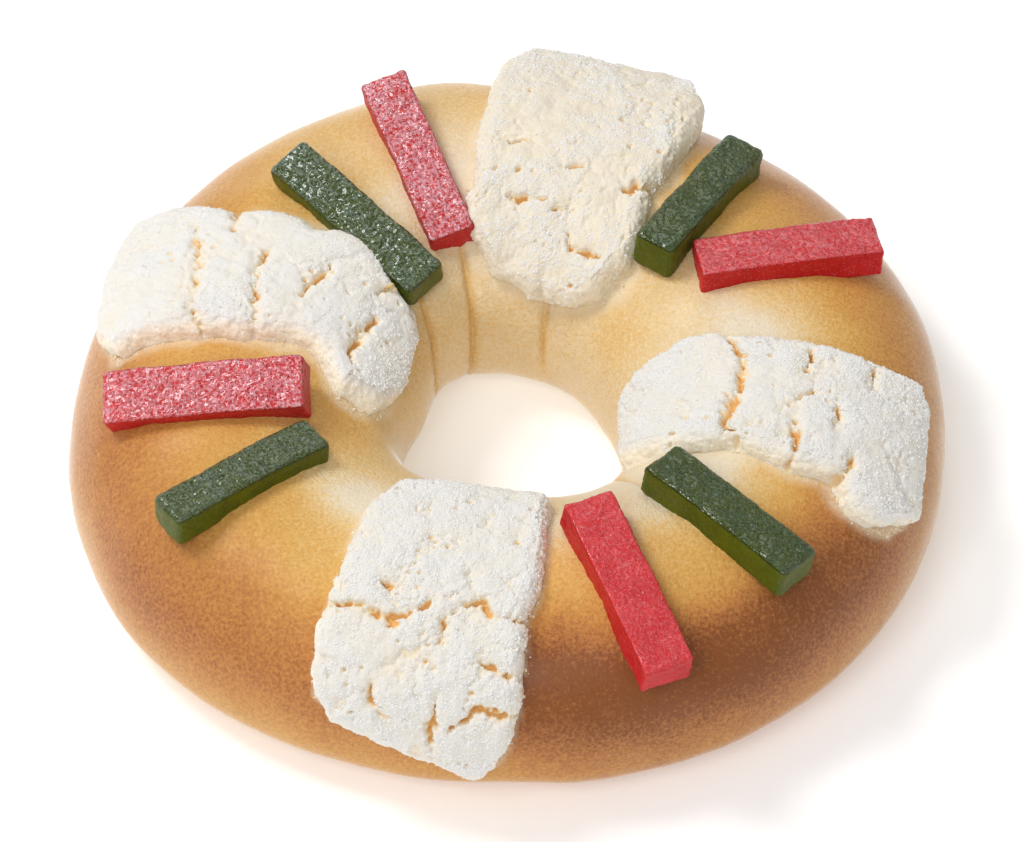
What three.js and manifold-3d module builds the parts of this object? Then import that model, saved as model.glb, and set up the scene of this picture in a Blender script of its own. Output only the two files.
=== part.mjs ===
// Roscon de reyes: a sweet bread ring baked on a flat tray, with four strips of crumbly sugar paste
// draped across it and eight bars of fruit paste, red and green in pairs, set into its crown between them.
// Millimetres, +Z up. The origin is under the middle of the ring, at the level of its flat base.
// Round the ring, 0 degrees is +X and 90 degrees is the back, +Y.

import * as THREE from 'three';
import { mergeVertices } from 'three/addons/utils/BufferGeometryUtils.js';
import { ImprovedNoise } from 'three/addons/math/ImprovedNoise.js';
import Module from 'manifold-3d';

const wasm = await Module();
wasm.setup();
const noise = new ImprovedNoise();

const DEG = Math.PI / 180;

// ---------------------------------------------------------------- driving dimensions

// Bread ring. The waves are how far the hand-shaped outline strays from a true circle:
// a cosine and a sine part for once, twice, three and four times round, for its outside and its hole.
const OUTER_RADIUS = 125;
const OUTER_WAVES = [[1.04, -0.7], [2.16, -0.06], [0.56, -0.58], [-0.9, 0.95]];
const INNER_RADIUS = 30.6;
const INNER_WAVES = [[2.44, -6.3], [-1.53, -1.45], [0.22, -2.35], [-1.48, 0.43]];
const RING_HEIGHT = 54.8;
const WIDEST_LEVEL = 17.5;
const ACROSS_POWER = 0.902;
const UP_POWER = 0.906;
const BASE_FULLNESS = 1.25;
const RING_STEPS = 62;
const SECTION_STEPS = 28;

// Where the dough was pinched together on the wall of the hole: angle round the ring at the crest,
// how far the crease leans, the stretch of the section it runs along (90 is the crown, 180 the hole),
// its depth and its half width. It fades out over CREASE_FADE at both ends.
const CREASE_FADE = 12 * DEG;
const CREASES = [
  { at: 105, lean: 4, from: 122, to: 205, depth: 1.6, halfWidth: 2.6 },
  { at: 69, lean: -5, from: 138, to: 176, depth: 1.3, halfWidth: 2.4 },
  { at: 130, lean: 9, from: 138, to: 182, depth: 1.4, halfWidth: 2.6 },
  { at: 308, lean: 5, from: 100, to: 150, depth: 1.5, halfWidth: 2.6 },
];

// Soft swellings of the dough: angle round the ring, place on the section, height and half width.
const SWELLS = [
  { at: 99, phi: 46, height: 3.4, halfWidth: 25 },
  { at: 117, phi: 150, height: 1.6, halfWidth: 11 },
  { at: 92, phi: 152, height: 1.4, halfWidth: 10 },
  { at: 300, phi: 104, height: 2.0, halfWidth: 9 },
  { at: 262, phi: 40, height: -1.2, halfWidth: 22 },
  { at: 222, phi: 55, height: 1.2, halfWidth: 20 },
  { at: 12, phi: 50, height: 1.2, halfWidth: 20 },
];

// Sugar paste: the slab's rounding and undercut, and the height and pitch of its roughness.
const PASTE_GAP = 0.4;
const PASTE_EDGE_ROUND = 1.5;
const PASTE_UNDERCUT = 0.7;
const PASTE_COLUMNS = 13;
const PASTE_ROWS = 21;
const PASTE_LAYERS = 2;
const CRUMB_HEIGHT = 0.55;
const CRUMB_PITCH = 3.1;
const PILLOW_HEIGHT = 0.7;
const PILLOW_PITCH = 9;
const RAGGED_EDGE = 0.9;
const RAGGED_PITCH = 5;
const THICK_END_SHARE = 0.6;
const LIFTED_END_SHARE = 0.4;

// Cracks: how far apart the cutter's steps are, how narrow it is at its ends and at its floor,
// how much its width wanders, and how far it stands over the paste's face.
const CRACK_STEP = 4.5;
const CRACK_END_WIDTH = 0.25;
const CRACK_END_SHARE = 0.12;
const CRACK_FLOOR_WIDTH = 0.3;
const CRACK_JITTER = 0.5;
const CRACK_JITTER_PITCH = 2.3;
const CRACK_CLEARANCE = 4;

// Fruit-paste bars
const BAR_STEPS = 6;
const BAR_SWELL = 0.15;
const BAR_SWELL_PITCH = 8;
const POCKET_GAP = 0.35;

// The dough's welt round each bar: its height and reach, and the levels between which it fades in.
const BED_WELT_HEIGHT = 1.1;
const BED_WELT_REACH = 8;
const BED_WELT_FROM = 20;
const BED_WELT_FULL = 42;

// The four strips of sugar paste. "angle" is where the strip's own line u = 0 crosses the ring.
// Outlines and cracks are given on the dough's skin: u along the ring, growing with the angle, and
// s across it from the crown, towards the outer flank when positive and towards the hole when negative.
// Each side runs from the outer end to the inner one, and each end from the low-u side to the high-u side.
// A crack is its width, its depth and the path it follows.
const STRIPS = [
  {
    name: 'sugar_strip_back', angle: 74, innerThickness: 8.5, outerThickness: 11, endLift: 2.6, seed: 3,
    lowSide: [[-27, 39.5], [-30.5, 29.5], [-29.5, 15], [-28, 4], [-25.5, -2], [-27, -20], [-25, -33.5]],
    highSide: [[23.5, 40], [28, 26], [28.5, 9.5], [25.5, -8], [24.5, -23], [19, -33.5]],
    outerEnd: [[-27, 39.5], [-18, 43], [-5, 42.5], [12, 42], [23.5, 40]],
    innerEnd: [[-25, -33.5], [-13, -41.5], [-2, -43.5], [9.5, -40], [19, -33.5]],
    cracks: [
      [1.5, 2.5, [[18, -2], [14, -0.4], [11, -1.2]]],
      [1.4, 2.5, [[0.6, -7], [-4, -6.5]]],
      [2.2, 4, [[14, -20], [10, -20], [7, -18.7], [2.5, -17.5]]],
      [2.2, 3.6, [[-1, -20], [-6.7, -19.3]]],
      [3, 5, [[-30, -2], [-23.2, -5.8], [-19, -9.8]]],
      [1.8, 3, [[-7, -26.3], [-10.3, -29], [-19, -28.5]]],
    ],
  },
  {
    name: 'sugar_strip_left', angle: 163, innerThickness: 7, outerThickness: 7.5, endLift: 0.3, seed: 11,
    lowSide: [[-26.5, 49.5], [-26, 38], [-26.5, 29], [-25, 16.5], [-27.5, 5.5], [-24.5, -7.5], [-26.5, -13],
      [-24, -24], [-15, -39.5]],
    highSide: [[29.5, 37], [23.5, 25], [19, 4], [17, -4], [14.5, -16], [17, -24], [25, -30.5], [24.5, -37]],
    outerEnd: [[-26.5, 49.5], [-14.5, 50.5], [5, 47], [19.5, 44], [29.5, 37]],
    innerEnd: [[-15, -39.5], [-7.5, -46.5], [4, -49.5], [15.5, -49.5], [24.5, -37]],
    cracks: [
      [2.6, 5, [[-9, 0.7], [-1.3, 0.7], [5.7, -1.3], [14, -3], [24, -4.6]]],
      [1.8, 3.5, [[-17, 25], [-10, 21], [-4, 18], [6.2, 16], [18, 13.4], [24.8, 7.8]]],
      [2, 4, [[-30, 18], [-19, 14], [-15.8, 12.7]]],
      [1.7, 3, [[-12.3, -17], [-8.5, -16.5], [-3, -14.5], [1.6, -13]]],
      [2.8, 5, [[-1, -33.5], [4.4, -32.3], [9.4, -31.2], [17, -31.2]]],
      [1.8, 3, [[-9.6, -30], [-18, -35]]],
    ],
  },
  {
    name: 'sugar_strip_right', angle: -16, innerThickness: 7, outerThickness: 8, endLift: 0.3, seed: 23,
    lowSide: [[-24, 43.5], [-28, 36.5], [-26.5, 27.5], [-21, 20], [-21.5, 10], [-19, 1.5], [-18.5, -11],
      [-20.5, -24], [-21.5, -36.5]],
    highSide: [[23.5, 39], [22.5, 31], [21.5, 22.5], [22.5, 4.5], [20.5, -10], [20.5, -20], [13.5, -35.5]],
    outerEnd: [[-24, 43.5], [-16.5, 46.5], [-9.5, 43.5], [4, 41.5], [23.5, 39]],
    innerEnd: [[-21.5, -36.5], [-19, -43.5], [-12, -49.5], [-2.5, -51], [5.5, -46.5], [13.5, -35.5]],
    cracks: [
      [3, 5, [[21, -14.6], [14.4, -12.7], [9.2, -10.8], [-1.8, -11.5], [-12.5, -13.3], [-17.4, -10.2]]],
      [1.6, 2.6, [[19.3, 7.2], [10, 5.8]]],
      [1.6, 3, [[4, 7.8], [-2.2, 3]]],
      [2.6, 4.5, [[-8.3, 5], [-14.7, 7.2], [-23.3, 7.8]]],
      [1.5, 2.6, [[21.6, 22.4], [11, 23]]],
      [1.5, 2.6, [[0, 14.8], [-7.6, 16]]],
      [2.6, 5, [[-14.5, 23], [-19.7, 21.8], [-26.6, 20.7]]],
    ],
  },
  {
    name: 'sugar_strip_front', angle: -101, innerThickness: 7, outerThickness: 7.5, endLift: 0.3, seed: 37,
    lowSide: [[-29, 47.5], [-29.5, 37.5], [-28.5, 24.5], [-26.5, 11], [-26, -2], [-22, -18]],
    highSide: [[21.5, 60.5], [24, 54], [25.5, 45.5], [26, 30.5], [24.5, 18.5], [26, 10], [25.5, -1],
      [26, -15.5]],
    outerEnd: [[-29, 47.5], [-23, 50.5], [-11.5, 53], [3, 57.5], [16, 62], [21.5, 60.5]],
    innerEnd: [[-22, -18], [-17, -22], [-1.5, -26.5], [13.5, -26], [22, -24], [26, -15.5]],
    cracks: [
      [2.6, 5, [[-30, 23.5], [-22.7, 22.4], [-14, 22.4], [-9.6, 22.9], [-5, 19.7], [-0.8, 17.5]]],
      [1.9, 4, [[3.4, 19.7], [3.6, 26.6]]],
      [2.4, 4.5, [[5, 19], [8.2, 16.3], [13, 15.2], [16, 19], [25.5, 19.7]]],
      [1.9, 3.5, [[-14.5, 14.6], [-12, 14.6], [-7.2, 14]]],
      [2, 4, [[14.7, 28.7], [19, 32.8], [27, 34.3]]],
      [2, 4, [[9.3, 47.5], [12.2, 44.6], [16, 42.2], [26.4, 43.6]]],
      [1.9, 3.5, [[5, 38.7], [4, 47], [4.2, 55]]],
      [1.7, 3.2, [[-12, 38.7], [-12, 43], [-7.2, 46.5]]],
    ],
  },
];

// The eight bars: centre from above, length, width and thickness, the direction its outer end points to,
// how far the outer end dips, how far it leans to its right looking outwards, and how much it sags.
const BARS = [
  {
    name: 'red_bar_back_left', x: -24.6, y: 69.5, size: [58, 13.7, 9.6],
    turn: 111.5, dip: -10, lean: -10, sag: 1.2,
  },
  {
    name: 'green_bar_back_left', x: -42.3, y: 46.2, size: [58.5, 13.8, 10.1],
    turn: 135.4, dip: -9, lean: -14, sag: 1.6,
  },
  {
    name: 'green_bar_back_right', x: 56.8, y: 51.6, size: [52.3, 12.7, 12.2],
    turn: 57.3, dip: 4, lean: 3, sag: 1.4,
  },
  {
    name: 'red_bar_back_right', x: 81.9, y: 33, size: [53.4, 15, 9.6],
    turn: 10.6, dip: 1, lean: -3, sag: 1.2,
  },
  {
    name: 'red_bar_left', x: -83.3, y: -20, size: [57.4, 15.4, 10.8],
    turn: 177.7, dip: 10, lean: -24, sag: 2.4,
  },
  {
    name: 'green_bar_left', x: -71.9, y: -51, size: [50.7, 12.5, 10.4],
    turn: -143.6, dip: -1.5, lean: 0, sag: 2.2,
  },
  {
    name: 'red_bar_front', x: 33.6, y: -89, size: [55.8, 14, 10.9],
    turn: -66.6, dip: 11, lean: -1, sag: 1.6,
  },
  {
    name: 'green_bar_front', x: 61.8, y: -65, size: [52, 14.4, 10.2],
    turn: -43.3, dip: 3.4, lean: -8.5, sag: 1.8,
  },
];
const BAR_SINK = 2.4;
const RED_EDGE_ROUND = 0.9;
const GREEN_EDGE_ROUND = 1.9;

const FINISH = {
  bread: { color: '#d9a057', roughness: 0.42, metalness: 0 },
  paste: { color: '#efe4cf', roughness: 0.85, metalness: 0 },
  red: { color: '#c8414b', roughness: 0.38, metalness: 0 },
  green: { color: '#3c5a2b', roughness: 0.35, metalness: 0 },
};

// ---------------------------------------------------------------- the dough's skin

function wave(radius, waves, theta) {
  let sum = radius;
  waves.forEach(([cosPart, sinPart], i) => {
    sum += cosPart * Math.cos((i + 1) * theta) + sinPart * Math.sin((i + 1) * theta);
  });
  return sum;
}

function bell(distance, halfWidth) {
  return Math.exp(-((distance / halfWidth) ** 2));
}

function smoothStep(low, high, value) {
  return THREE.MathUtils.smoothstep(value, low, high);
}

function angleBetween(a, b) {
  return Math.atan2(Math.sin(a - b), Math.cos(a - b));
}

// Plain section of the ring: phi is 0 at the outer flank, 90 degrees at the crown, 180 at the hole
// and 270 at the base, which is cut off flat.
function sectionPoint(theta, phi) {
  const outer = wave(OUTER_RADIUS, OUTER_WAVES, theta);
  const inner = wave(INNER_RADIUS, INNER_WAVES, theta);
  const across = Math.sign(Math.cos(phi)) * Math.abs(Math.cos(phi)) ** ACROSS_POWER;
  const up = Math.abs(Math.sin(phi)) ** UP_POWER;
  const high = WIDEST_LEVEL + (RING_HEIGHT - WIDEST_LEVEL) * up;
  const low = WIDEST_LEVEL * Math.max(1 - BASE_FULLNESS * up, 0);
  return { r: (outer + inner) / 2 + ((outer - inner) / 2) * across, z: Math.sin(phi) >= 0 ? high : low };
}

// Creases and swellings, in millimetres along the skin's own direction.
function doughRelief(theta, phi) {
  const { r } = sectionPoint(theta, phi);
  let height = 0;
  for (const crease of CREASES) {
    const from = crease.from * DEG;
    const to = crease.to * DEG;
    const begun = smoothStep(from - CREASE_FADE, from + CREASE_FADE, phi);
    const ended = smoothStep(to - CREASE_FADE, to + CREASE_FADE, phi);
    const centre = crease.at * DEG + crease.lean * DEG * ((phi - from) / (to - from));
    height -= crease.depth * begun * (1 - ended) * bell(r * angleBetween(theta, centre), crease.halfWidth);
  }
  for (const swell of SWELLS) {
    const alongRing = r * angleBetween(theta, swell.at * DEG);
    const acrossRing = (RING_HEIGHT - WIDEST_LEVEL) * (phi - swell.phi * DEG);
    height += swell.height * bell(Math.hypot(alongRing, acrossRing), swell.halfWidth);
  }
  return height;
}

// Low welt that the dough raises round each bar as it rises.
function weltAt(x, y) {
  let height = 0;
  for (const bar of BARS) {
    const turn = bar.turn * DEG;
    const along = (x - bar.x) * Math.cos(turn) + (y - bar.y) * Math.sin(turn);
    const aside = -(x - bar.x) * Math.sin(turn) + (y - bar.y) * Math.cos(turn);
    const outside = Math.hypot(
      Math.max(Math.abs(along) - bar.size[0] / 2, 0),
      Math.max(Math.abs(aside) - bar.size[1] / 2, 0),
    );
    height += BED_WELT_HEIGHT * bell(outside, BED_WELT_REACH);
  }
  return height;
}

// A point "lift" above the skin, along the section's own outward direction. The base stays flat.
function skinPoint(theta, phi, lift = 0) {
  const step = 1e-3;
  const here = sectionPoint(theta, phi);
  const before = sectionPoint(theta, phi - step);
  const after = sectionPoint(theta, phi + step);
  const length = Math.hypot(after.r - before.r, after.z - before.z) || 1;
  const outR = (after.z - before.z) / length;
  const outZ = (before.r - after.r) / length;
  const onTop = smoothStep(BED_WELT_FROM, BED_WELT_FULL, here.z) * Math.max(Math.sin(phi), 0);
  const welt = weltAt(here.r * Math.cos(theta), here.r * Math.sin(theta)) * onTop;
  const rise = here.z > 0 ? lift + doughRelief(theta, phi) + welt : lift;
  const r = here.r + rise * outR;
  return new THREE.Vector3(r * Math.cos(theta), r * Math.sin(theta), here.z + rise * outZ);
}

// Height of the skin above a place given from above.
function skinHeight(x, y) {
  const theta = Math.atan2(y, x);
  const middle = (sectionPoint(theta, 0).r + sectionPoint(theta, Math.PI).r) / 2;
  const half = (sectionPoint(theta, 0).r - sectionPoint(theta, Math.PI).r) / 2;
  const across = THREE.MathUtils.clamp((Math.hypot(x, y) - middle) / half, -1, 1);
  const cosine = Math.sign(across) * Math.abs(across) ** (1 / ACROSS_POWER);
  return sectionPoint(theta, Math.acos(cosine)).z;
}

// ---------------------------------------------------------------- meshes and solids

// Moves each corner of a stock geometry to where place() says, and leaves one closed body of positions.
function reshape(geometry, place) {
  const position = geometry.attributes.position;
  const corner = new THREE.Vector3();
  for (let i = 0; i < position.count; i += 1) {
    corner.fromBufferAttribute(position, i);
    const moved = place(corner);
    position.setXYZ(i, moved.x, moved.y, moved.z);
  }
  geometry.deleteAttribute('normal');
  geometry.deleteAttribute('uv');
  return mergeVertices(geometry, 1e-3);
}

function toSolid(geometry) {
  return new wasm.Manifold(new wasm.Mesh({
    numProp: 3,
    vertProperties: new Float32Array(geometry.attributes.position.array),
    triVerts: new Uint32Array(geometry.index.array),
  }));
}

function toGeometry(solid) {
  const mesh = solid.getMesh();
  const geometry = new THREE.BufferGeometry();
  geometry.setAttribute('position', new THREE.BufferAttribute(new Float32Array(mesh.vertProperties), 3));
  geometry.setIndex(new THREE.BufferAttribute(new Uint32Array(mesh.triVerts), 1));
  geometry.computeVertexNormals();
  return geometry;
}

// Keeps the body of a cut piece and drops loose scraps.
function largestBody(solid) {
  return solid.decompose().reduce((best, body) => (body.volume() > best.volume() ? body : best));
}

function namedMesh(name, geometry, finish) {
  geometry.computeVertexNormals();
  const mesh = new THREE.Mesh(geometry, new THREE.MeshStandardMaterial(finish));
  mesh.name = name;
  return mesh;
}

// ---------------------------------------------------------------- bread ring

// Angles of the section rows: the flat base takes one row at each of its edges, and the rest are even.
function sectionAngle(row) {
  const baseEdge = Math.asin((1 / BASE_FULLNESS) ** (1 / UP_POWER));
  const rows = SECTION_STEPS - 1;
  return -baseEdge + (row / rows) * (Math.PI + 2 * baseEdge);
}

function breadGeometry() {
  const torus = new THREE.TorusGeometry(2, 1, SECTION_STEPS, RING_STEPS);
  return reshape(torus, (corner) => {
    const theta = Math.atan2(corner.y, corner.x);
    const around = Math.atan2(corner.z, Math.hypot(corner.x, corner.y) - 2) / (2 * Math.PI);
    const row = Math.round((around + 1) * SECTION_STEPS) % SECTION_STEPS;
    return skinPoint(theta, sectionAngle(row));
  });
}

// ---------------------------------------------------------------- fruit-paste bars

// A bar sags along its length by this much, half way to each end and at the ends.
function droopAt(bar, along) {
  return bar.sag * (along / (bar.size[0] / 2)) ** 2;
}

function edgeRound(bar) {
  return bar.name.startsWith('red') ? RED_EDGE_ROUND : GREEN_EDGE_ROUND;
}

// The stock box has evenly spaced lines from -1 to 1: the last line before each end moves to where
// the edge rounding begins, and the others stay.
function lineAt(value, half, steps, round) {
  const lastLine = 1 - 2 / steps - 0.01;
  return Math.abs(value) > lastLine ? Math.sign(value) * (half - round) : value * half;
}

function barGeometry(bar) {
  const half = bar.size.map((value) => value / 2);
  const round = edgeRound(bar);
  const steps = [BAR_STEPS, 3, 3];
  const box = new THREE.BoxGeometry(2, 2, 2, ...steps);
  return reshape(box, (corner) => {
    const unit = [corner.x, corner.y, corner.z];
    const outermost = unit.filter((value) => Math.abs(value) > 0.99).length;
    const [along, aside, up] = unit.map((value, axis) => {
      const inset = Math.abs(value) > 0.99 ? (outermost - 1) * round * 0.3 : round;
      return lineAt(value, half[axis], steps[axis], inset);
    });
    const pitch = BAR_SWELL_PITCH;
    const swell = BAR_SWELL * noise.noise(along / pitch, aside / pitch + bar.x, up / pitch);
    const height = up * (1 + swell / half[2]) - droopAt(bar, along);
    return new THREE.Vector3(along, aside * (1 + swell / half[1]), height);
  });
}

// The plain space a bar takes with a little air round it, to cut its bed from what it lies on.
function pocketGeometry(bar) {
  const half = bar.size.map((value) => value / 2 + POCKET_GAP);
  const box = new THREE.BoxGeometry(2, 2, 2, BAR_STEPS, 1, 1);
  return reshape(box, ({ x, y, z }) => {
    const inset = Math.abs(x) > 0.99 ? 0 : edgeRound(bar) + POCKET_GAP;
    const along = lineAt(x, half[0], BAR_STEPS, inset);
    return new THREE.Vector3(along, y * half[1], z * half[2] - droopAt(bar, along));
  });
}

// The bar's own frame: +X to its outer end, +Z up, standing on the dough less the depth it sank in.
function barMatrix(bar) {
  const turn = bar.turn * DEG;
  const dip = bar.dip * DEG;
  const lean = bar.lean * DEG;
  const level = Math.cos(dip);
  const outward = new THREE.Vector3(Math.cos(turn) * level, Math.sin(turn) * level, -Math.sin(dip));
  const right = new THREE.Vector3(Math.sin(turn), -Math.cos(turn), 0);
  const upright = new THREE.Vector3().crossVectors(right, outward);
  const up = right.clone().multiplyScalar(Math.sin(lean)).addScaledVector(upright, Math.cos(lean));
  const left = new THREE.Vector3().crossVectors(up, outward);
  const centreHeight = skinHeight(bar.x, bar.y) + bar.size[2] / 2 - BAR_SINK + bar.sag / 3;
  return new THREE.Matrix4().makeBasis(outward, left, up).setPosition(bar.x, bar.y, centreHeight);
}

// ---------------------------------------------------------------- sugar-paste strips

// Table of distance along the section from the crown, positive outwards, for the ring's section at theta.
function sectionRule(theta) {
  const rows = [];
  let distance = 0;
  let last = null;
  for (let degree = 90; degree >= -60; degree -= 1) {
    const here = sectionPoint(theta, degree * DEG);
    if (last) distance += Math.hypot(here.r - last.r, here.z - last.z);
    rows.push({ s: distance, phi: degree * DEG, r: here.r });
    last = here;
  }
  distance = 0;
  last = sectionPoint(theta, Math.PI / 2);
  for (let degree = 91; degree <= 240; degree += 1) {
    const here = sectionPoint(theta, degree * DEG);
    distance -= Math.hypot(here.r - last.r, here.z - last.z);
    rows.unshift({ s: distance, phi: degree * DEG, r: here.r });
    last = here;
  }
  return (s) => {
    let i = rows.findIndex((row) => row.s >= s);
    i = i < 1 ? 1 : i;
    const a = rows[i - 1];
    const b = rows[i];
    const t = (s - a.s) / (b.s - a.s);
    return { phi: a.phi + (b.phi - a.phi) * t, r: a.r + (b.r - a.r) * t };
  };
}

function splineThrough(points) {
  return new THREE.SplineCurve(points.map(([u, s]) => new THREE.Vector2(u, s)));
}

// Fills the outline: "across" runs from the low-u side to the high-u side and "along" from the outer end
// to the inner one, both from 0 to 1.
function stripFiller(strip) {
  const low = splineThrough(strip.lowSide);
  const high = splineThrough(strip.highSide);
  const outer = splineThrough(strip.outerEnd);
  const inner = splineThrough(strip.innerEnd);
  const corners = [outer.getPoint(0), outer.getPoint(1), inner.getPoint(0), inner.getPoint(1)];
  return (across, along) => {
    const point = outer.getPointAt(across).multiplyScalar(1 - along);
    point.addScaledVector(inner.getPointAt(across), along);
    point.addScaledVector(low.getPointAt(along), 1 - across);
    point.addScaledVector(high.getPointAt(along), across);
    point.addScaledVector(corners[0], -(1 - across) * (1 - along));
    point.addScaledVector(corners[1], -across * (1 - along));
    point.addScaledVector(corners[2], -(1 - across) * along);
    point.addScaledVector(corners[3], -across * along);
    return point;
  };
}

// Puts (u, s, height over the skin) of one strip into space.
function stripMapper(strip) {
  const theta = strip.angle * DEG;
  const rule = sectionRule(theta);
  return (u, s, height) => {
    const { phi, r } = rule(s);
    return skinPoint(theta + u / r, phi, height);
  };
}

function stripThickness(strip, along) {
  const { lerp } = THREE.MathUtils;
  return lerp(strip.outerThickness, strip.innerThickness, smoothStep(0, THICK_END_SHARE, along));
}

function stripLift(strip, along) {
  return PASTE_GAP + strip.endLift * (1 - smoothStep(0, LIFTED_END_SHARE, along));
}

// From about -1 to 1 over the paste, with lumps "pitch" apart.
function roughness(place, pitch, seed) {
  return noise.noise(place.x / pitch, place.y / pitch, seed);
}

// A slab of paste: rounded at its top edge, undercut at its foot, ragged round its outline, lumpy and
// rough on top.
function stripGeometry(strip) {
  const fill = stripFiller(strip);
  const toSpace = stripMapper(strip);
  const slab = new THREE.BoxGeometry(1, 1, 1, PASTE_COLUMNS, PASTE_ROWS, PASTE_LAYERS);
  return reshape(slab, (corner) => {
    const across = 0.5 - corner.x;
    const along = 0.5 - corner.y;
    const level = corner.z + 0.5;
    const place = fill(across, along);
    const centre = fill(0.5, along);
    const rim = Math.max(Math.abs(corner.x), Math.abs(corner.y)) > 0.499;
    const onTop = level > 0.9;
    if (rim) {
      const inset = onTop ? PASTE_EDGE_ROUND / 2 : (1 - level) * PASTE_UNDERCUT;
      const ragged = RAGGED_EDGE * roughness(place, RAGGED_PITCH, strip.seed + level / 2);
      const inward = centre.clone().sub(place).normalize();
      if (inward.lengthSq() > 0) place.addScaledVector(inward, inset + ragged);
    }
    const crumbs = CRUMB_HEIGHT * roughness(place, CRUMB_PITCH, strip.seed + 0.5);
    const pillow = PILLOW_HEIGHT * roughness(place, PILLOW_PITCH, strip.seed + 7.5);
    const edgeDrop = rim ? PASTE_EDGE_ROUND : 0;
    const bottom = stripLift(strip, along);
    const top = bottom + stripThickness(strip, along) + crumbs + pillow - edgeDrop;
    return toSpace(place.x, place.y, onTop ? top : bottom + (top - bottom) * level);
  });
}

// A cutter for one crack: wide at the paste's face, narrow at its depth, and pinched at both ends.
function crackGeometry(strip, [width, depth, path]) {
  const toSpace = stripMapper(strip);
  const line = splineThrough(path);
  const steps = Math.max(2, Math.round(line.getLength() / CRACK_STEP));
  const wedge = new THREE.BoxGeometry(1, 1, 1, steps, 1, 1);
  const highestFace = PASTE_GAP + strip.endLift + Math.max(strip.innerThickness, strip.outerThickness);
  const mouth = highestFace + CRACK_CLEARANCE;
  return reshape(wedge, (corner) => {
    const t = corner.x + 0.5;
    const here = line.getPointAt(t);
    const direction = line.getTangentAt(t);
    const middleness = Math.sin(Math.PI * THREE.MathUtils.clamp(t, CRACK_END_SHARE, 1 - CRACK_END_SHARE));
    const pinch = CRACK_END_WIDTH + (1 - CRACK_END_WIDTH) * Math.sqrt(middleness);
    const jitter = 1 + CRACK_JITTER * roughness(here, CRACK_JITTER_PITCH, strip.seed + corner.y);
    const open = corner.z > 0;
    const fullWidth = open ? width : width * CRACK_FLOOR_WIDTH;
    const side = Math.sign(corner.y) * (fullWidth / 2) * pinch * jitter;
    const floor = PASTE_GAP + strip.innerThickness - depth * (1 + pinch) / 2;
    return toSpace(here.x + direction.y * side, here.y - direction.x * side, open ? mouth : floor);
  });
}

// ---------------------------------------------------------------- assembly

const roscon = new THREE.Group();

const barPockets = BARS.map((bar) => toSolid(pocketGeometry(bar).applyMatrix4(barMatrix(bar))));

let bread = toSolid(breadGeometry());
barPockets.forEach((pocket) => {
  bread = bread.subtract(pocket);
});
roscon.add(namedMesh('bread_ring', toGeometry(largestBody(bread)), FINISH.bread));

for (const strip of STRIPS) {
  let paste = toSolid(stripGeometry(strip));
  for (const crack of strip.cracks) paste = paste.subtract(toSolid(crackGeometry(strip, crack)));
  for (const pocket of barPockets) paste = paste.subtract(pocket);
  roscon.add(namedMesh(strip.name, toGeometry(largestBody(paste)), FINISH.paste));
}

for (const bar of BARS) {
  const colour = bar.name.startsWith('red') ? FINISH.red : FINISH.green;
  const mesh = namedMesh(bar.name, barGeometry(bar), colour);
  mesh.applyMatrix4(barMatrix(bar));
  roscon.add(mesh);
}

// Stand the whole thing over the middle of its own footprint.
const extent = new THREE.Box3().setFromObject(roscon);
const centre = extent.getCenter(new THREE.Vector3());
roscon.position.set(-centre.x, -centre.y, -extent.min.z);

export default roscon;
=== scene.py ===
"""Roscon de reyes: a golden ring of bread with strips of crumbly sugar paste and bars of fruit paste.

Sizes are in millimetres and angles in degrees, until the last step puts them in metres into the frame.
Round the ring, 0 degrees is +X and 90 degrees is the back. On the ring's section, 0 degrees is the outer
flank, 90 the crown and 180 the wall of the hole.
"""

import itertools
import math
from functools import partialmethod

import bmesh
import bpy
import numpy as np
from mathutils import Matrix, Quaternion
from mathutils.kdtree import KDTree


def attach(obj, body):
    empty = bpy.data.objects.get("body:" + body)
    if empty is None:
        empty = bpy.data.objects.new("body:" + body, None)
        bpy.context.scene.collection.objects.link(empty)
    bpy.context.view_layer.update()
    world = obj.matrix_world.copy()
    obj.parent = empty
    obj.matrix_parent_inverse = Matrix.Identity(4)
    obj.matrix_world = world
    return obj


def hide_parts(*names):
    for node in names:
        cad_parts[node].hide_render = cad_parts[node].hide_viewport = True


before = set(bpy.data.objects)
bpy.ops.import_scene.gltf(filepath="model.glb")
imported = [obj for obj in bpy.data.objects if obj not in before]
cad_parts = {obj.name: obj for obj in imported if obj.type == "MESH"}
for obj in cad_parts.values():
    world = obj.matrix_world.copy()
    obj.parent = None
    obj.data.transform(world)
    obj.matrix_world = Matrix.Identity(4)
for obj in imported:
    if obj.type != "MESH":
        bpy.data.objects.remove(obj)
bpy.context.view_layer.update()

MM = 0.001
DEG = math.pi / 180
BODY = "root"
NEAREST_SLICE = 4000
ALMOST_ONE = 0.999

# ---- sizes of the bread ring

RING_CENTRE = (-1.6, 3.3, 0.0)
OUTER_RADIUS = 125
OUTER_WAVES = ((1.04, -0.7), (2.16, -0.06), (0.56, -0.58), (-0.9, 0.95))
INNER_RADIUS = 30.6
INNER_WAVES = ((2.44, -6.3), (-1.53, -1.45), (0.22, -2.35), (-1.48, 0.43))
RING_HEIGHT = 54.8
WIDEST_LEVEL = 17.5
ACROSS_POWER = 0.902
UP_POWER = 0.906
BASE_FULLNESS = 1.25
BASE_EDGE = math.asin((1 / BASE_FULLNESS) ** (1 / UP_POWER)) / DEG
BASE_SHARE = 0.06
SECTION_SOFTNESS = 3.0
RING_STEPS = 480
SECTION_STEPS = 196

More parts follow.
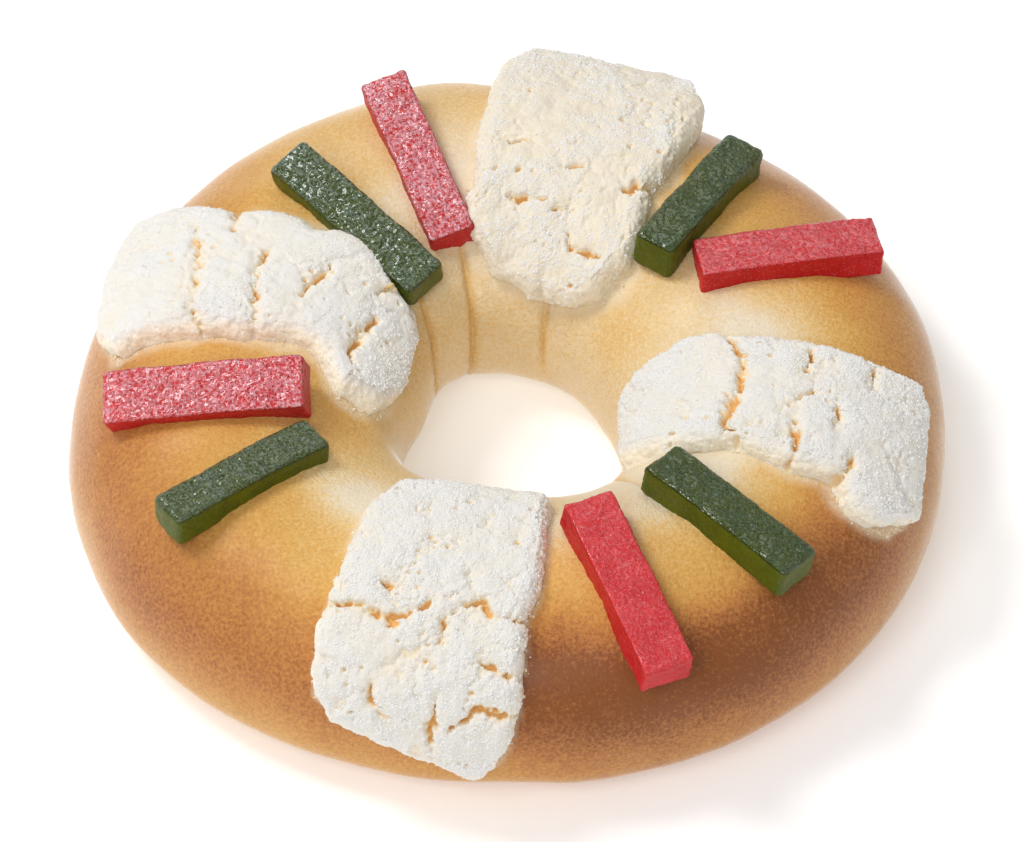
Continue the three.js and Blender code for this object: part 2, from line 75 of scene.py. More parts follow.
# Pinches in the dough: angle round the ring, lean, stretch of the section, depth, half width.
CREASES = (
    (105, 4, 122, 205, 1.6, 2.6),
    (69, -5, 138, 176, 1.3, 2.4),
    (130, 9, 138, 182, 1.4, 2.6),
    (308, 5, 100, 150, 1.5, 2.6),
)
CREASE_FADE = 12
CREASE_CORE = 0.85
CREASE_SOFT_SHARE = 0.6
CREASE_CORE_SHARE = 0.75

# Soft swellings: angle round the ring, place on the section, height, half width.
SWELLS = (
    (99, 46, 3.4, 25),
    (117, 150, 1.6, 11),
    (92, 152, 1.4, 10),
    (300, 104, 2.0, 9),
    (262, 40, -1.2, 22),
    (222, 55, 1.2, 20),
    (12, 50, 1.2, 20),
)

# Unevenness of the baked skin: height and pitch.
DOUGH_LUMPS = ((0.45, 24), (0.16, 9), (0.05, 3.2))
DOUGH_SEED = 41

# Baking of the crust, from 0 for pale cream over 0.4 for golden to 1 for brown.
SHOULDER_BAKE = 0.12
CROWN_BAKE = 0.4
FLANK_BAKE = 0.72

# Browner and paler stretches of the outer flank: angle round the ring, half width, change. The browner
# front right is partly painted shade, and the paler stretch at the right is a painted sheen of light
# reflected at the rim.
FLANK_PATCHES = (
    (300, 42, 0.31),
    (105, 38, -0.42),
    (8, 34, -0.14),
)

# Browner and paler patches, partly real baking and partly painted: some paler ones are painted light that
# lifts shade and shadows, and some browner ones are painted shade. Angle round the ring, place on the
# section, half width, half height, change.
BAKE_AND_SHADE_PATCHES = (
    (150, 156, 50, 20, 0.07),
    (300, 160, 50, 18, 0.06),
    (62, 158, 50, 20, 0.02),
    (206, 118, 24, 34, 0.28),
    (165, 120, 26, 30, 0.22),
    (4, 92, 9, 13, -0.3),
    (98, 90, 16, 24, -0.32),
    (124, 78, 14, 18, -0.12),
    (279, 58, 13, 18, 0.18),
    (308, 133, 16, 16, -0.2),
    (236, 104, 12, 12, -0.24),
    (320, 100, 14, 16, -0.22),
    (24, 142, 16, 14, 0.14),
    (36, 118, 15, 16, 0.13),
    (216, 20, 26, 22, 0.1),
    (238, 62, 9, 22, -0.09),
    (302, 64, 15, 11, -0.17),
    (285, 57, 8, 11, -0.13),
    (264, 14, 26, 16, 0.05),
)

# Stretches of the section where the baking changes: from the shoulder up to the crown, down to the flank,
# and under it, where the crust is paler by a share, partly from lighter baking and partly as a painted
# sheen of reflected light.
CROWN_BLEND = (104, 86)
FLANK_BLEND = (86, 44)
UNDER_BLEND = (32, -8)
UNDER_PALER = 0.34
# Browner along the creases, which is partly painted shade in them.
CREASE_BAKE_AND_SHADE = 0.1

# Sugar dust beside the strips: height, pitch of its grains, and its uneven reach as heights and pitches.
DUST_HEIGHT = 0.5
DUST_PITCH = 1.5
DUST_EDGE = ((0.6, 9), (0.3, 3))

# Unevenness of the baking: change and pitch.
BAKED_MOTTLE = ((0.05, 24), (0.025, 8.5), (0.015, 2.6))

# ---- sizes of the sugar paste

PASTE_SUNK = 0.35
PASTE_BEND = 60
PASTE_FOOT = 0.15
PASTE_SWELL = 0.7
OUTWARD_BLEND = 0.8
RIM_REACH = 5.0
RIM_LIMIT = (8.0, 12.0)
CORNER_CUT = 2.46
CORNER_START = 0.72
SLAB_COLUMNS = 140
SLAB_ROWS = 244
SLAB_LAYERS = 20
THICK_END_SHARE = 0.6
LIFTED_END_SHARE = 0.4

# Height and pitch of the soft pillows, of the torn outline and of the drifts of sugar.
PILLOWS = ((0.7, 11.0), (0.5, 4.6))
RAGGED = ((0.9, 6.0), (0.45, 2.1))
SUGAR_DRIFTS = ((0.65, 13.0),)

# Rounded crumbs: height, the share of it that they keep on the walls, and pitch. The last value takes off
# as much as domes packed side by side add on average.
CRUMB_DOMES = ((0.62, 0.5, 3.7), (0.38, 1.5, 1.75), (0.2, 1.6, 0.95))
DOME_LEVEL = 0.34

# Small pits torn in the paste: pitch, share of the places that have one, depth and half width.
PITS = ((6.0, 0.32, 1.9, 0.8), (2.9, 0.29, 1.6, 0.6))
WALL_TEAR = 0.6
WALL_PILLOW = 0.5
VALLEY_DEPTH = 1.2
VALLEY_HALF_WIDTH = 1.8

# Hairline breaks between finger-wide lumps of paste: pitch, share that has opened, depth and half width.
BREAKS = (7.5, 0.38, 1.1, 0.36)

# What makes cracks natural, as heights and pitches: the wandering of their lines, the beads that narrow
# them and the fields where breaks open. Their edges slope over a multiple of the half width.
JAG = ((0.9, 3.1), (0.5, 1.1))
BEADS = ((1.0, 2.5), (0.6, 1.2))
BREAK_FIELDS = ((1.0, 9.0), (0.5, 3.0))
CRACK_EDGE = 1.5

# From none to all of what is painted on the paste: raised crumb, whose hollows get a darker cream that is
# partly painted shade, strewn sugar, and sugar lost in a crack.
RAISED_BAND = (-1.3, 0.1)
SUGAR_BAND = (0.1, 1.1)
CRACK_LOSS = (0.4, 1.2)
TORN_FULL = 2.2

# The strips. Their outlines and cracks lie on the dough's skin: u along the ring, growing with the angle,
# and s across it from the crown, positive outwards. A crack is its width, its depth and its path. Inner
# and outer are the thickness at those ends, and round is how far the rim rounds over.
SIDES = ("outer_end", "high_side", "inner_end", "low_side")
STRIPS = {
    "sugar_strip_back": {
        "angle": 74, "inner": 8.5, "outer": 11, "end_lift": 2.6, "seed": 3, "sugar": 0.6,
        "dust_reach": 5.0, "breaks": 0.45, "cream": 0.85, "round": 5.0, "crumbly": 0.85,
        "low_side": (
            (-27, 39.5), (-30.5, 29.5), (-29.5, 15), (-28, 4), (-25.5, -2), (-27, -20), (-25, -33.5),
        ),
        "high_side": ((23.5, 40), (28, 26), (28.5, 9.5), (25.5, -8), (24.5, -23), (19, -33.5)),
        "outer_end": ((-27, 39.5), (-18, 43), (-5, 42.5), (12, 42), (23.5, 40)),
        "inner_end": ((-25, -33.5), (-13, -41.5), (-2, -43.5), (9.5, -40), (19, -33.5)),
        "cracks": (
            (1.5, 2.5, ((18, -2), (14, -0.4), (11, -1.2))),
            (1.4, 2.5, ((0.6, -7), (-4, -6.5))),
            (2.2, 2.6, ((14, -20), (10, -20), (7, -18.7), (2.5, -17.5))),
            (2.2, 2.6, ((-1, -20), (-6.7, -19.3))),
            (3, 2.6, ((-30, -2), (-23.2, -5.8), (-19, -9.8))),
            (1.8, 2.6, ((-7, -26.3), (-10.3, -29), (-19, -28.5))),
        ),
    },
    "sugar_strip_left": {
        "angle": 163, "inner": 7, "outer": 7.5, "end_lift": 0.3, "seed": 11, "sugar": 0.25,
        "dust_reach": 4.5, "breaks": 0.4, "cream": 0.16, "round": 6.2, "crumbly": 0.8,
        "low_side": (
            (-26.5, 49.5), (-26, 38), (-26.5, 29), (-25, 16.5), (-27.5, 5.5), (-24.5, -7.5),
            (-26.5, -13), (-24, -24), (-15, -39.5),
        ),
        "high_side": (
            (29.5, 37), (23.5, 25), (19, 4), (17, -4), (14.5, -16), (17, -24), (25, -30.5),
            (24.5, -37),
        ),
        "outer_end": ((-26.5, 49.5), (-14.5, 50.5), (5, 47), (19.5, 44), (29.5, 37)),
        "inner_end": ((-15, -39.5), (-7.5, -46.5), (4, -49.5), (15.5, -49.5), (24.5, -37)),
        "cracks": (
            (2.6, 2.6, ((-9, 0.7), (-1.3, 0.7), (5.7, -1.3), (14, -3), (24, -4.6))),
            (1.8, 2.6, ((-17, 25), (-10, 21), (-4, 18), (6.2, 16), (18, 13.4), (24.8, 7.8))),
            (2, 2.6, ((-30, 18), (-19, 14), (-15.8, 12.7))),
            (1.7, 2.6, ((-12.3, -17), (-8.5, -16.5), (-3, -14.5), (1.6, -13))),
            (2.8, 2.6, ((-1, -33.5), (4.4, -32.3), (9.4, -31.2), (17, -31.2))),
            (1.8, 2.6, ((-9.6, -30), (-18, -35))),
        ),
    },
    "sugar_strip_right": {
        "angle": -16, "inner": 7, "outer": 8, "end_lift": 0.3, "seed": 23, "sugar": 0.7,
        "dust_reach": 4.5, "breaks": 0.55, "cream": 0.25, "round": 5.2, "crumbly": 0.95,
        "low_side": (
            (-24, 43.5), (-28, 36.5), (-26.5, 27.5), (-21, 20), (-21.5, 10), (-19, 1.5),
            (-18.5, -11), (-20.5, -24), (-21.5, -36.5),
        ),
        "high_side": (
            (23.5, 39), (22.5, 31), (21.5, 22.5), (22.5, 4.5), (20.5, -10), (20.5, -20),
            (13.5, -35.5),
        ),
        "outer_end": ((-24, 43.5), (-16.5, 46.5), (-9.5, 43.5), (4, 41.5), (23.5, 39)),
        "inner_end": (
            (-21.5, -36.5), (-19, -43.5), (-12, -49.5), (-2.5, -51), (5.5, -46.5), (13.5, -35.5),
        ),
        "cracks": (
            (3, 2.6, (
                (21, -14.6), (14.4, -12.7), (9.2, -10.8), (-1.8, -11.5), (-12.5, -13.3), (-17.4, -10.2),
            )),
            (1.6, 2.6, ((19.3, 7.2), (10, 5.8))),
            (1.6, 2.6, ((4, 7.8), (-2.2, 3))),
            (2.6, 2.6, ((-8.3, 5), (-14.7, 7.2), (-23.3, 7.8))),
            (1.5, 2.6, ((21.6, 22.4), (11, 23))),
            (1.5, 2.6, ((0, 14.8), (-7.6, 16))),
            (2.6, 2.6, ((-14.5, 23), (-19.7, 21.8), (-26.6, 20.7))),
        ),
    },
    "sugar_strip_front": {
        "angle": -101, "inner": 7, "outer": 7.5, "end_lift": 0.3, "seed": 37, "sugar": 0.75,
        "dust_reach": 2.2, "breaks": 0.7, "cream": 0.25, "round": 4.8, "crumbly": 0.95,
        "low_side": ((-29, 47.5), (-29.5, 37.5), (-28.5, 24.5), (-26.5, 11), (-26, -2), (-22, -18)),
        "high_side": (
            (21.5, 60.5), (24, 54), (25.5, 45.5), (26, 30.5), (24.5, 18.5), (26, 10), (25.5, -1),
            (26, -15.5),
        ),
        "outer_end": ((-29, 47.5), (-23, 50.5), (-11.5, 53), (3, 57.5), (16, 62), (21.5, 60.5)),
        "inner_end": ((-22, -18), (-17, -22), (-1.5, -26.5), (13.5, -26), (22, -24), (26, -15.5)),
        "cracks": (
            (2.6, 2.6, (
                (-30, 23.5), (-22.7, 22.4), (-14, 22.4), (-9.6, 22.9), (-5, 19.7), (-0.8, 17.5),
            )),
            (1.9, 2.6, ((3.4, 19.7), (3.6, 26.6))),
            (2.4, 2.6, ((5, 19), (8.2, 16.3), (13, 15.2), (16, 19), (25.5, 19.7))),
            (1.9, 2.6, ((-14.5, 14.6), (-12, 14.6), (-7.2, 14))),
            (2, 2.6, ((14.7, 28.7), (19, 32.8), (27, 34.3))),
            (2, 2.6, ((9.3, 47.5), (12.2, 44.6), (16, 42.2), (26.4, 43.6))),
            (1.9, 2.6, ((5, 38.7), (4, 47), (4.2, 55))),
            (1.7, 2.6, ((-12, 38.7), (-12, 43), (-7.2, 46.5))),
        ),
    },
}

# ---- sizes of the fruit-paste bars

# Centre from above, size, direction of the outer end, its dip, the lean to its right, the sag, and how
# strongly its top glints.
BARS = {
    "red_bar_back_left": (-24.6, 69.5, (58, 13.7, 9.6), 111.5, -10, -10, 1.2, 1.2),
    "green_bar_back_left": (-42.3, 46.2, (58.5, 13.8, 10.1), 135.4, -9, -14, 1.6, 1.0),
    "green_bar_back_right": (56.8, 51.6, (52.3, 12.7, 12.2), 57.3, 4, 3, 1.4, 0.5),
    "red_bar_back_right": (81.9, 33, (53.4, 15, 9.6), 10.6, 1, -3, 1.2, 0.56),
    "red_bar_left": (-83.3, -20, (57.4, 15.4, 10.8), 177.7, 10, -24, 2.4, 1.0),
    "green_bar_left": (-71.9, -51, (50.7, 12.5, 10.4), -143.6, -1.5, 0, 2.2, 0.8),
    "red_bar_front": (33.6, -89, (55.8, 14.6, 10.9), -66.6, 11, -1, 0.7, 0.33),
    "green_bar_front": (61.8, -65, (52, 14.6, 10.2), -43.3, 3.4, -8.5, 1.4, 0.45),
}
BAR_SINK = 2.4
BAR_SAG_SHARE = 0.45
BAR_STEPS = (128, 32, 22)
EDGE_ROUND = {"red": 0.9, "green": 1.9}
BAR_RELIEF = ((0.32, 8.0), (0.22, 3.1))
PEBBLE_PITCH = 1.25
PEBBLE_HEIGHT = 0.65
PEBBLE_WARP = ((0.5, 1.7),)
SIDE_PEBBLES = 0.6
LEAST_PEBBLES = 0.15
FACING_UP = (0.35, 0.85)
WELT_HEIGHT = 1.1
WELT_REACH = 8
WELT_LEVELS = (20, 42)

# ---- sizes of loose sugar and crumbs

# Each kind of grain: how many, their smallest and largest size, and the share of it that is stuck in.
COARSE_SUGAR = {"count": 15500, "size": (0.34, 0.68), "sunk": 0.62, "seed": 5}
FINE_SUGAR = {"count": 24000, "size": (0.26, 0.42), "sunk": 0.62, "seed": 6}
SUGAR_GLOW = 0.33
SUGAR_FREE_RIM = (-1.0, 3.0)
WALL_SUGAR = 0.32
LEAST_SUGAR = 0.02
CRUMBS = {"count": 1600, "size": (0.3, 0.95), "reach": 1.8, "seed": 7}

# ---- camera, floor and lights

CAMERA_HEIGHT_ANGLE = 50.394
CAMERA_DISTANCE = 1400
PICTURE_WIDTH = 1024
FOCAL_PIXELS = 4785.45
PICTURE_SHIFT = (-9.302, -48.972)
SENSOR_WIDTH = 36
FLOOR_SIZE = 6000
FLOOR_GAP = 0.2
FLOOR_GLOW = 0.25

# Soft lights: azimuth, elevation, distance and size in metres, and strength.
LIGHTS = {
    "key from the left": (-110, 58, 1.6, (0.5, 0.5), 0.45),
    "back sheen": (180, 55, 1.7, (0.7, 0.5), 0.08),
    "front fill": (-20, 50, 1.8, (1.0, 0.8), 0.36),
}
ROOM_LIGHT = 0.4


# ---- small tools

def smooth_step(low, high, value):
    share = np.clip((value - low) / (high - low), 0, 1)
    return share * share * (3 - 2 * share)


def bell(distance, half_width):
    return np.exp(-((distance / half_width) ** 2))


def unit_rows(vectors):
    return vectors / np.maximum(np.linalg.norm(vectors, axis=1, keepdims=True), 1e-9)


def turn_between(a, b):
    """Signed angle from b to a, in degrees."""
    return (a - b + 180) % 360 - 180


def lattice(cells, seed):
    """A repeatable number from 0 to 1 for each whole-number cell."""
    x, y, z = np.moveaxis(cells.astype(np.int64), -1, 0)
    mixed = (x * 73856093) ^ (y * 19349663) ^ (z * 83492791) ^ (seed * 40503)
    mixed = ((mixed ^ (mixed >> 13)) * 1274126177) & 0xFFFFFFFF
    return ((mixed ^ (mixed >> 16)) & 0xFFFF) / 0xFFFF


def lumps(points, pitch, seed):
    """Smooth noise from -1 to 1, with lumps about one pitch apart."""
    grid = points / pitch
    cell = np.floor(grid)
    share = grid - cell
    share = share * share * (3 - 2 * share)
    total = np.zeros(len(points))
    for corner in itertools.product((0, 1), repeat=3):
        weight = np.prod(np.where(corner, share, 1 - share), axis=-1)
        total += weight * lattice(cell + corner, seed)
    return total * 2 - 1


def granules(points, pitch, seed):
    """Distance in pitches to the nearest and second nearest of points scattered one to a cell."""
    grid = points / pitch
    cell = np.floor(grid)
    nearest = np.full(len(points), 9.0)
    second = nearest.copy()
    for offset in itertools.product((-1, 0, 1), repeat=3):
        home = cell + offset
        spot = home + np.stack([lattice(home, seed + axis) for axis in range(3)], axis=-1)
        distance = np.linalg.norm(grid - spot, axis=-1)
        second = np.minimum(second, np.maximum(nearest, distance))
        nearest = np.minimum(nearest, distance)
    return nearest, second


def layered(points, layers, seed):
    """Sum of lumps, one for each (height, pitch)."""
    return sum(height * lumps(points, pitch, seed + i) for i, (height, pitch) in enumerate(layers))


def even_line(points, count=160, steps=24):
    """Evenly spaced points along the smooth line through the given ones."""
    knots = np.array(points, float)
    padded = np.vstack([knots[:1], knots, knots[-1:]])
    t = np.linspace(0, 1, steps, endpoint=False)[:, None]
    pieces = []
    for before, start, end, after in zip(padded, padded[1:], padded[2:], padded[3:]):
        leave = (end - before) / 2
        arrive = (after - start) / 2
        cubic = 2 * start - 2 * end + leave + arrive
        square = 3 * end - 3 * start - 2 * leave - arrive
        pieces.append(cubic * t ** 3 + square * t ** 2 + leave * t + start)
    line = np.vstack(pieces + [knots[-1:]])
    length = np.append(0, np.cumsum(np.linalg.norm(np.diff(line, axis=0), axis=1)))
    even = np.linspace(0, length[-1], count)
    return np.column_stack([np.interp(even, length, line[:, axis]) for axis in (0, 1)])


def point_at(line, share):
    """Points at these shares, from 0 to 1, of an evenly spaced line."""
    index = np.linspace(0, 1, len(line))
    return np.column_stack([np.interp(share, index, line[:, axis]) for axis in range(line.shape[1])])


def slices(count):
    """Parts of a long list that are small enough to compare with a whole line."""
    return [slice(start, start + NEAREST_SLICE) for start in range(0, count, NEAREST_SLICE)]


def blended_direction(line, directions, places, distance):
    """Direction at each place, blended over the parts of the line about as near as the nearest."""
    blended = np.empty_like(places)
    for part in slices(len(places)):
        apart = places[part, None, :] - line[None, :, :]
        weight = np.exp((distance[part, None] - np.hypot(apart[..., 0], apart[..., 1])) / OUTWARD_BLEND)
        blended[part] = weight @ directions / weight.sum(axis=1, keepdims=True)
    return blended


def nearest_on(line, places):
    """Distance to the nearest point of the line, and that point's index."""
    distance = np.empty(len(places))
    index = np.empty(len(places), dtype=int)
    for part in slices(len(places)):
        apart = places[part, None, :] - line[None, :, :]
        squared = apart[..., 0] ** 2 + apart[..., 1] ** 2
        index[part] = squared.argmin(axis=1)
        distance[part] = np.sqrt(squared.min(axis=1))
    return distance, index


# ---- form of the dough

def wave(radius, waves, theta):
    total = radius + np.zeros_like(theta)
    for times, (cos_part, sin_part) in enumerate(waves, 1):
        total += cos_part * np.cos(times * theta * DEG) + sin_part * np.sin(times * theta * DEG)
    return total


def sharp_section(theta, phi):
    outer = wave(OUTER_RADIUS, OUTER_WAVES, theta)
    inner = wave(INNER_RADIUS, INNER_WAVES, theta)
    cosine = np.cos(phi * DEG)
    sine = np.sin(phi * DEG)
    across = np.sign(cosine) * np.abs(cosine) ** ACROSS_POWER
    up = np.abs(sine) ** UP_POWER
    high = WIDEST_LEVEL + (RING_HEIGHT - WIDEST_LEVEL) * up
    low = WIDEST_LEVEL * np.maximum(1 - BASE_FULLNESS * up, 0)
    return (outer + inner) / 2 + (outer - inner) / 2 * across, np.where(sine >= 0, high, low)


def section_point(theta, phi):
    """Radius and height of the plain skin, with the section's flattest and steepest lines softened."""
    r = 0
    z = 0
    for weight, offset in ((0.25, -SECTION_SOFTNESS), (0.5, 0), (0.25, SECTION_SOFTNESS)):
        part_r, part_z = sharp_section(theta, phi + offset)
        r = r + weight * part_r
        z = z + weight * part_z
    return r, np.where(z < 0.02, 0, z)


def beside_crease(theta, phi, r, crease):
    """Distance aside from a crease's line."""
    at, lean, start, end, *_ = crease
    centre = at + lean * (phi - start) / (end - start)
    return r * turn_between(theta, centre) * DEG


def dough_relief(theta, phi, r):
    height = np.zeros_like(r)
    for crease in CREASES:
        _, _, start, end, depth, half_width = crease
        begun = smooth_step(start - CREASE_FADE, start + CREASE_FADE, phi)
        ended = smooth_step(end - CREASE_FADE, end + CREASE_FADE, phi)
        aside = beside_crease(theta, phi, r, crease)
        pinch = CREASE_SOFT_SHARE * bell(aside, half_width)
        pinch += CREASE_CORE_SHARE * bell(aside, CREASE_CORE)
        height -= depth * begun * (1 - ended) * pinch
    for at, section, swell, half_width in SWELLS:
        along = r * turn_between(theta, at) * DEG
        across = (RING_HEIGHT - WIDEST_LEVEL) * (phi - section) * DEG
        height += swell * bell(np.hypot(along, across), half_width)
    return height


def welts(x, y):
    """The low rise of the dough round each bar."""
    height = np.zeros_like(x)
    for bar_x, bar_y, size, turn, *_ in BARS.values():
        outward = np.array([math.cos(turn * DEG), math.sin(turn * DEG)])
        along = (x - bar_x) * outward[0] + (y - bar_y) * outward[1]
        aside = (y - bar_y) * outward[0] - (x - bar_x) * outward[1]
        past_end = np.maximum(np.abs(along) - size[0] / 2, 0)
        past_side = np.maximum(np.abs(aside) - size[1] / 2, 0)
        height += WELT_HEIGHT * bell(np.hypot(past_end, past_side), WELT_REACH)
    return height


def skin_point(theta, phi, lift):
    """Points "lift" above the dough, along its own outward direction. The base stays flat."""
    step = 0.1
    r, z = section_point(theta, phi)
    r_before, z_before = section_point(theta, phi - step)
    r_after, z_after = section_point(theta, phi + step)
    length = np.maximum(np.hypot(r_after - r_before, z_after - z_before), 1e-9)
    out_r = (z_after - z_before) / length
    out_z = (r_before - r_after) / length
    cosine = np.cos(theta * DEG)
    sine = np.sin(theta * DEG)
    on_top = smooth_step(*WELT_LEVELS, z) * np.maximum(np.sin(phi * DEG), 0)
    rise = lift + dough_relief(theta, phi, r) + welts(r * cosine, r * sine) * on_top
    rise = np.where(z > 0, rise, 0)
    level = np.maximum(z + rise * out_z, 0)
    return np.column_stack([(r + rise * out_r) * cosine, (r + rise * out_r) * sine, level])


def skin_height(x, y):
    theta = math.degrees(math.atan2(y, x))
    outer = float(sharp_section(np.array(theta), 0)[0])
    inner = float(sharp_section(np.array(theta), 180)[0])
    across = (2 * math.hypot(x, y) - outer - inner) / (outer - inner)
    cosine = math.copysign(abs(across) ** (1 / ACROSS_POWER), across)
    return float(sharp_section(np.array(theta), math.degrees(math.acos(cosine)))[1])


# ---- meshes

def to_frame(points):
    return (points + np.array(RING_CENTRE)) * MM


def rows_of(items, key, columns=3, kind=np.float64):
    rows = np.empty((len(items), columns), dtype=kind)
    items.foreach_get(key, rows.ravel())
    return rows


def corners_of(mesh):
    return rows_of(mesh.vertices, "co")


def normals_of(mesh):
    return rows_of(mesh.vertex_normals, "vector")


def place_corners(mesh, points):
    mesh.vertices.foreach_set("co", to_frame(points).ravel())
    mesh.update()


def paint(mesh, **layers):
    """Keeps numbers for each corner, which a material can read by name."""
    for name, values in layers.items():
        attribute = mesh.attributes.new(name, "FLOAT", "POINT")
        attribute.data.foreach_set("value", np.asarray(values, dtype=np.float32))


def mesh_from(bm, name):
    mesh = bpy.data.meshes.new(name)
    bm.to_mesh(mesh)
    bm.free()
    return mesh


def new_object(name, data):
    made = bpy.data.objects.new(name, data)
    bpy.context.collection.objects.link(made)
    return made


def new_piece(name, mesh, finish, nodes=()):
    """Puts a mesh into the scene as a piece that rides on the bread's body."""
    piece = new_object(name, mesh)
    mesh.shade_smooth()
    mesh.materials.append(finish)
    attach(piece, BODY)
    if nodes:
        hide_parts(*nodes)
    return piece


def block_mesh(name, steps):
    """A unit block whose edges along X, Y and Z are cut into these numbers of steps."""
    bm = bmesh.new()
    bmesh.ops.create_cube(bm, size=1)
    for axis, count in enumerate(steps):
        along = [e for e in bm.edges if abs((e.verts[0].co - e.verts[1].co)[axis]) > 1e-6]
        bmesh.ops.subdivide_edges(bm, edges=along, cuts=count - 1, use_grid_fill=True)
    return mesh_from(bm, name)


def ring_mesh(name):
    """A plain ring: a circle of radius 1 spun at radius 2."""
    bm = bmesh.new()
    stand_up = Matrix.Translation((2, 0, 0)) @ Matrix.Rotation(math.pi / 2, 4, "X")
    bmesh.ops.create_circle(bm, cap_ends=False, segments=SECTION_STEPS, radius=1, matrix=stand_up)
    bmesh.ops.spin(
        bm, geom=bm.verts[:] + bm.edges[:], cent=(0, 0, 0), axis=(0, 0, 1), angle=2 * math.pi,
        steps=RING_STEPS, use_merge=True, use_duplicate=False,
    )
    bmesh.ops.recalc_face_normals(bm, faces=bm.faces)
    return mesh_from(bm, name)


# ---- bread ring

def section_angle(share):
    """Place on the section for a share of the way round it, with few rows left for the flat base."""
    skin_share = 1 - BASE_SHARE
    on_skin = -BASE_EDGE + share / skin_share * (180 + 2 * BASE_EDGE)
    on_base = 180 + BASE_EDGE + (share - skin_share) / BASE_SHARE * (180 - 2 * BASE_EDGE)
    return np.where(share < skin_share, on_skin, on_base)


def browning(theta, phi, points):
    """How deeply the crust is baked, and in places painted shade and light: 0 is pale cream, 0.4 golden,
    0.7 orange and 1 brown.
    """
    flank = FLANK_BAKE + np.zeros_like(phi)
    for at, half_width, more in FLANK_PATCHES:
        flank += more * bell(turn_between(theta, at), half_width)
    crown = SHOULDER_BAKE + (CROWN_BAKE - SHOULDER_BAKE) * smooth_step(*CROWN_BLEND, phi)
    baked = crown + (flank - crown) * smooth_step(*FLANK_BLEND, phi)
    baked -= UNDER_PALER * flank * smooth_step(*UNDER_BLEND, phi)
    for at, section, half_width, half_height, more in BAKE_AND_SHADE_PATCHES:
        reach = np.hypot(turn_between(theta, at) / half_width, (phi - section) / half_height)
        baked += more * bell(reach, 1)
    for crease in CREASES:
        _, _, start, end, depth, _ = crease
        aside = beside_crease(theta, phi, np.hypot(points[:, 0], points[:, 1]), crease)
        within = smooth_step(start - CREASE_FADE, start, phi) * smooth_step(end + CREASE_FADE, end, phi)
        baked += CREASE_BAKE_AND_SHADE * depth * within * bell(aside, 1.3 * CREASE_CORE)
    mottle = layered(points, BAKED_MOTTLE, 31)
    return baked + mottle * (0.4 + 0.6 * smooth_step(0.1, 0.5, baked))


def dusting(points):
    """How thickly sugar and crumbs lie on the crust, which is close beside the strips of paste."""
    uneven = 1 + layered(points, DUST_EDGE, 91)
    dust = np.zeros(len(points))
    for strip in STRIPS.values():
        line, _ = outline_of(strip)
        edge = strip_point(strip, line, 0.0)
        tree = KDTree(len(edge))
        for number, spot in enumerate(edge):
            tree.insert(spot, number)
        tree.balance()
        away = np.array([tree.find(point)[2] for point in points])
        dust = np.maximum(dust, smooth_step(1, 0.1, away / (strip["dust_reach"] * uneven)))
    return dust


def build_bread(finish):
    mesh = ring_mesh("bread")
    spot = corners_of(mesh)
    theta = np.degrees(np.arctan2(spot[:, 1], spot[:, 0]))
    around = np.arctan2(spot[:, 2], np.hypot(spot[:, 0], spot[:, 1]) - 2) / (2 * math.pi)
    phi = section_angle(around % 1)
    plain = skin_point(theta, phi, 0)
    uneven = layered(plain, DOUGH_LUMPS, DOUGH_SEED)
    dust = dusting(plain)
    grains, _ = granules(plain, DUST_PITCH, 95)
    points = skin_point(theta, phi, uneven + DUST_HEIGHT * dust * (0.5 - grains))
    place_corners(mesh, points)
    paint(mesh, browning=browning(theta, phi, points), dust=dust)
    return new_piece("bread", mesh, finish, ["bread_ring"])


# ---- sugar paste

def section_rule(theta):
    """Distance across the skin from the crown, with its place on the section and its radius."""
    phi = np.arange(240.0, -61.0, -1.0)
    r, z = sharp_section(np.full_like(phi, theta), phi)
    distance = np.append(0, np.cumsum(np.hypot(np.diff(r), np.diff(z))))
    crown = int(np.argmin(np.abs(phi - 90)))
    return distance - distance[crown], phi, r


def strip_point(strip, places, lift):
    """Points "lift" above the uneven dough at places of u and s."""
    distance, phi, r = section_rule(float(strip["angle"]))
    theta = strip["angle"] + np.degrees(places[:, 0] / np.interp(places[:, 1], distance, r))
    section = np.interp(places[:, 1], distance, phi)
    uneven = layered(skin_point(theta, section, 0), DOUGH_LUMPS, DOUGH_SEED)
    return skin_point(theta, section, lift + uneven)


def fill_outline(strip, across, along):
    """Places inside the outline: across from the low-u side, along from the outer end, both 0 to 1."""
    outer, high, inner, low = [even_line(strip[side]) for side in SIDES]
    a = across[:, None]
    b = along[:, None]
    ends = (1 - b) * point_at(outer, across) + b * point_at(inner, across)
    sides = (1 - a) * point_at(low, along) + a * point_at(high, along)
    corners = ((1 - a) * (1 - b) * outer[0] + a * (1 - b) * outer[-1]
               + (1 - a) * b * inner[0] + a * b * inner[-1])
    return ends + sides - corners


def outline_of(strip):
    """The whole outline as one closed line, and its outward directions."""
    outer, high, inner, low = [even_line(strip[side]) for side in SIDES]
    line = np.vstack([outer, high, inner[::-1], low[::-1]])
    ahead = unit_rows(np.roll(line, -6, axis=0) - np.roll(line, 6, axis=0))
    outward = np.column_stack([-ahead[:, 1], ahead[:, 0]])
    middle = line.mean(axis=0)
    facing = np.sign(np.sum(outward * (line - middle), axis=1).mean())
    return line, outward * facing


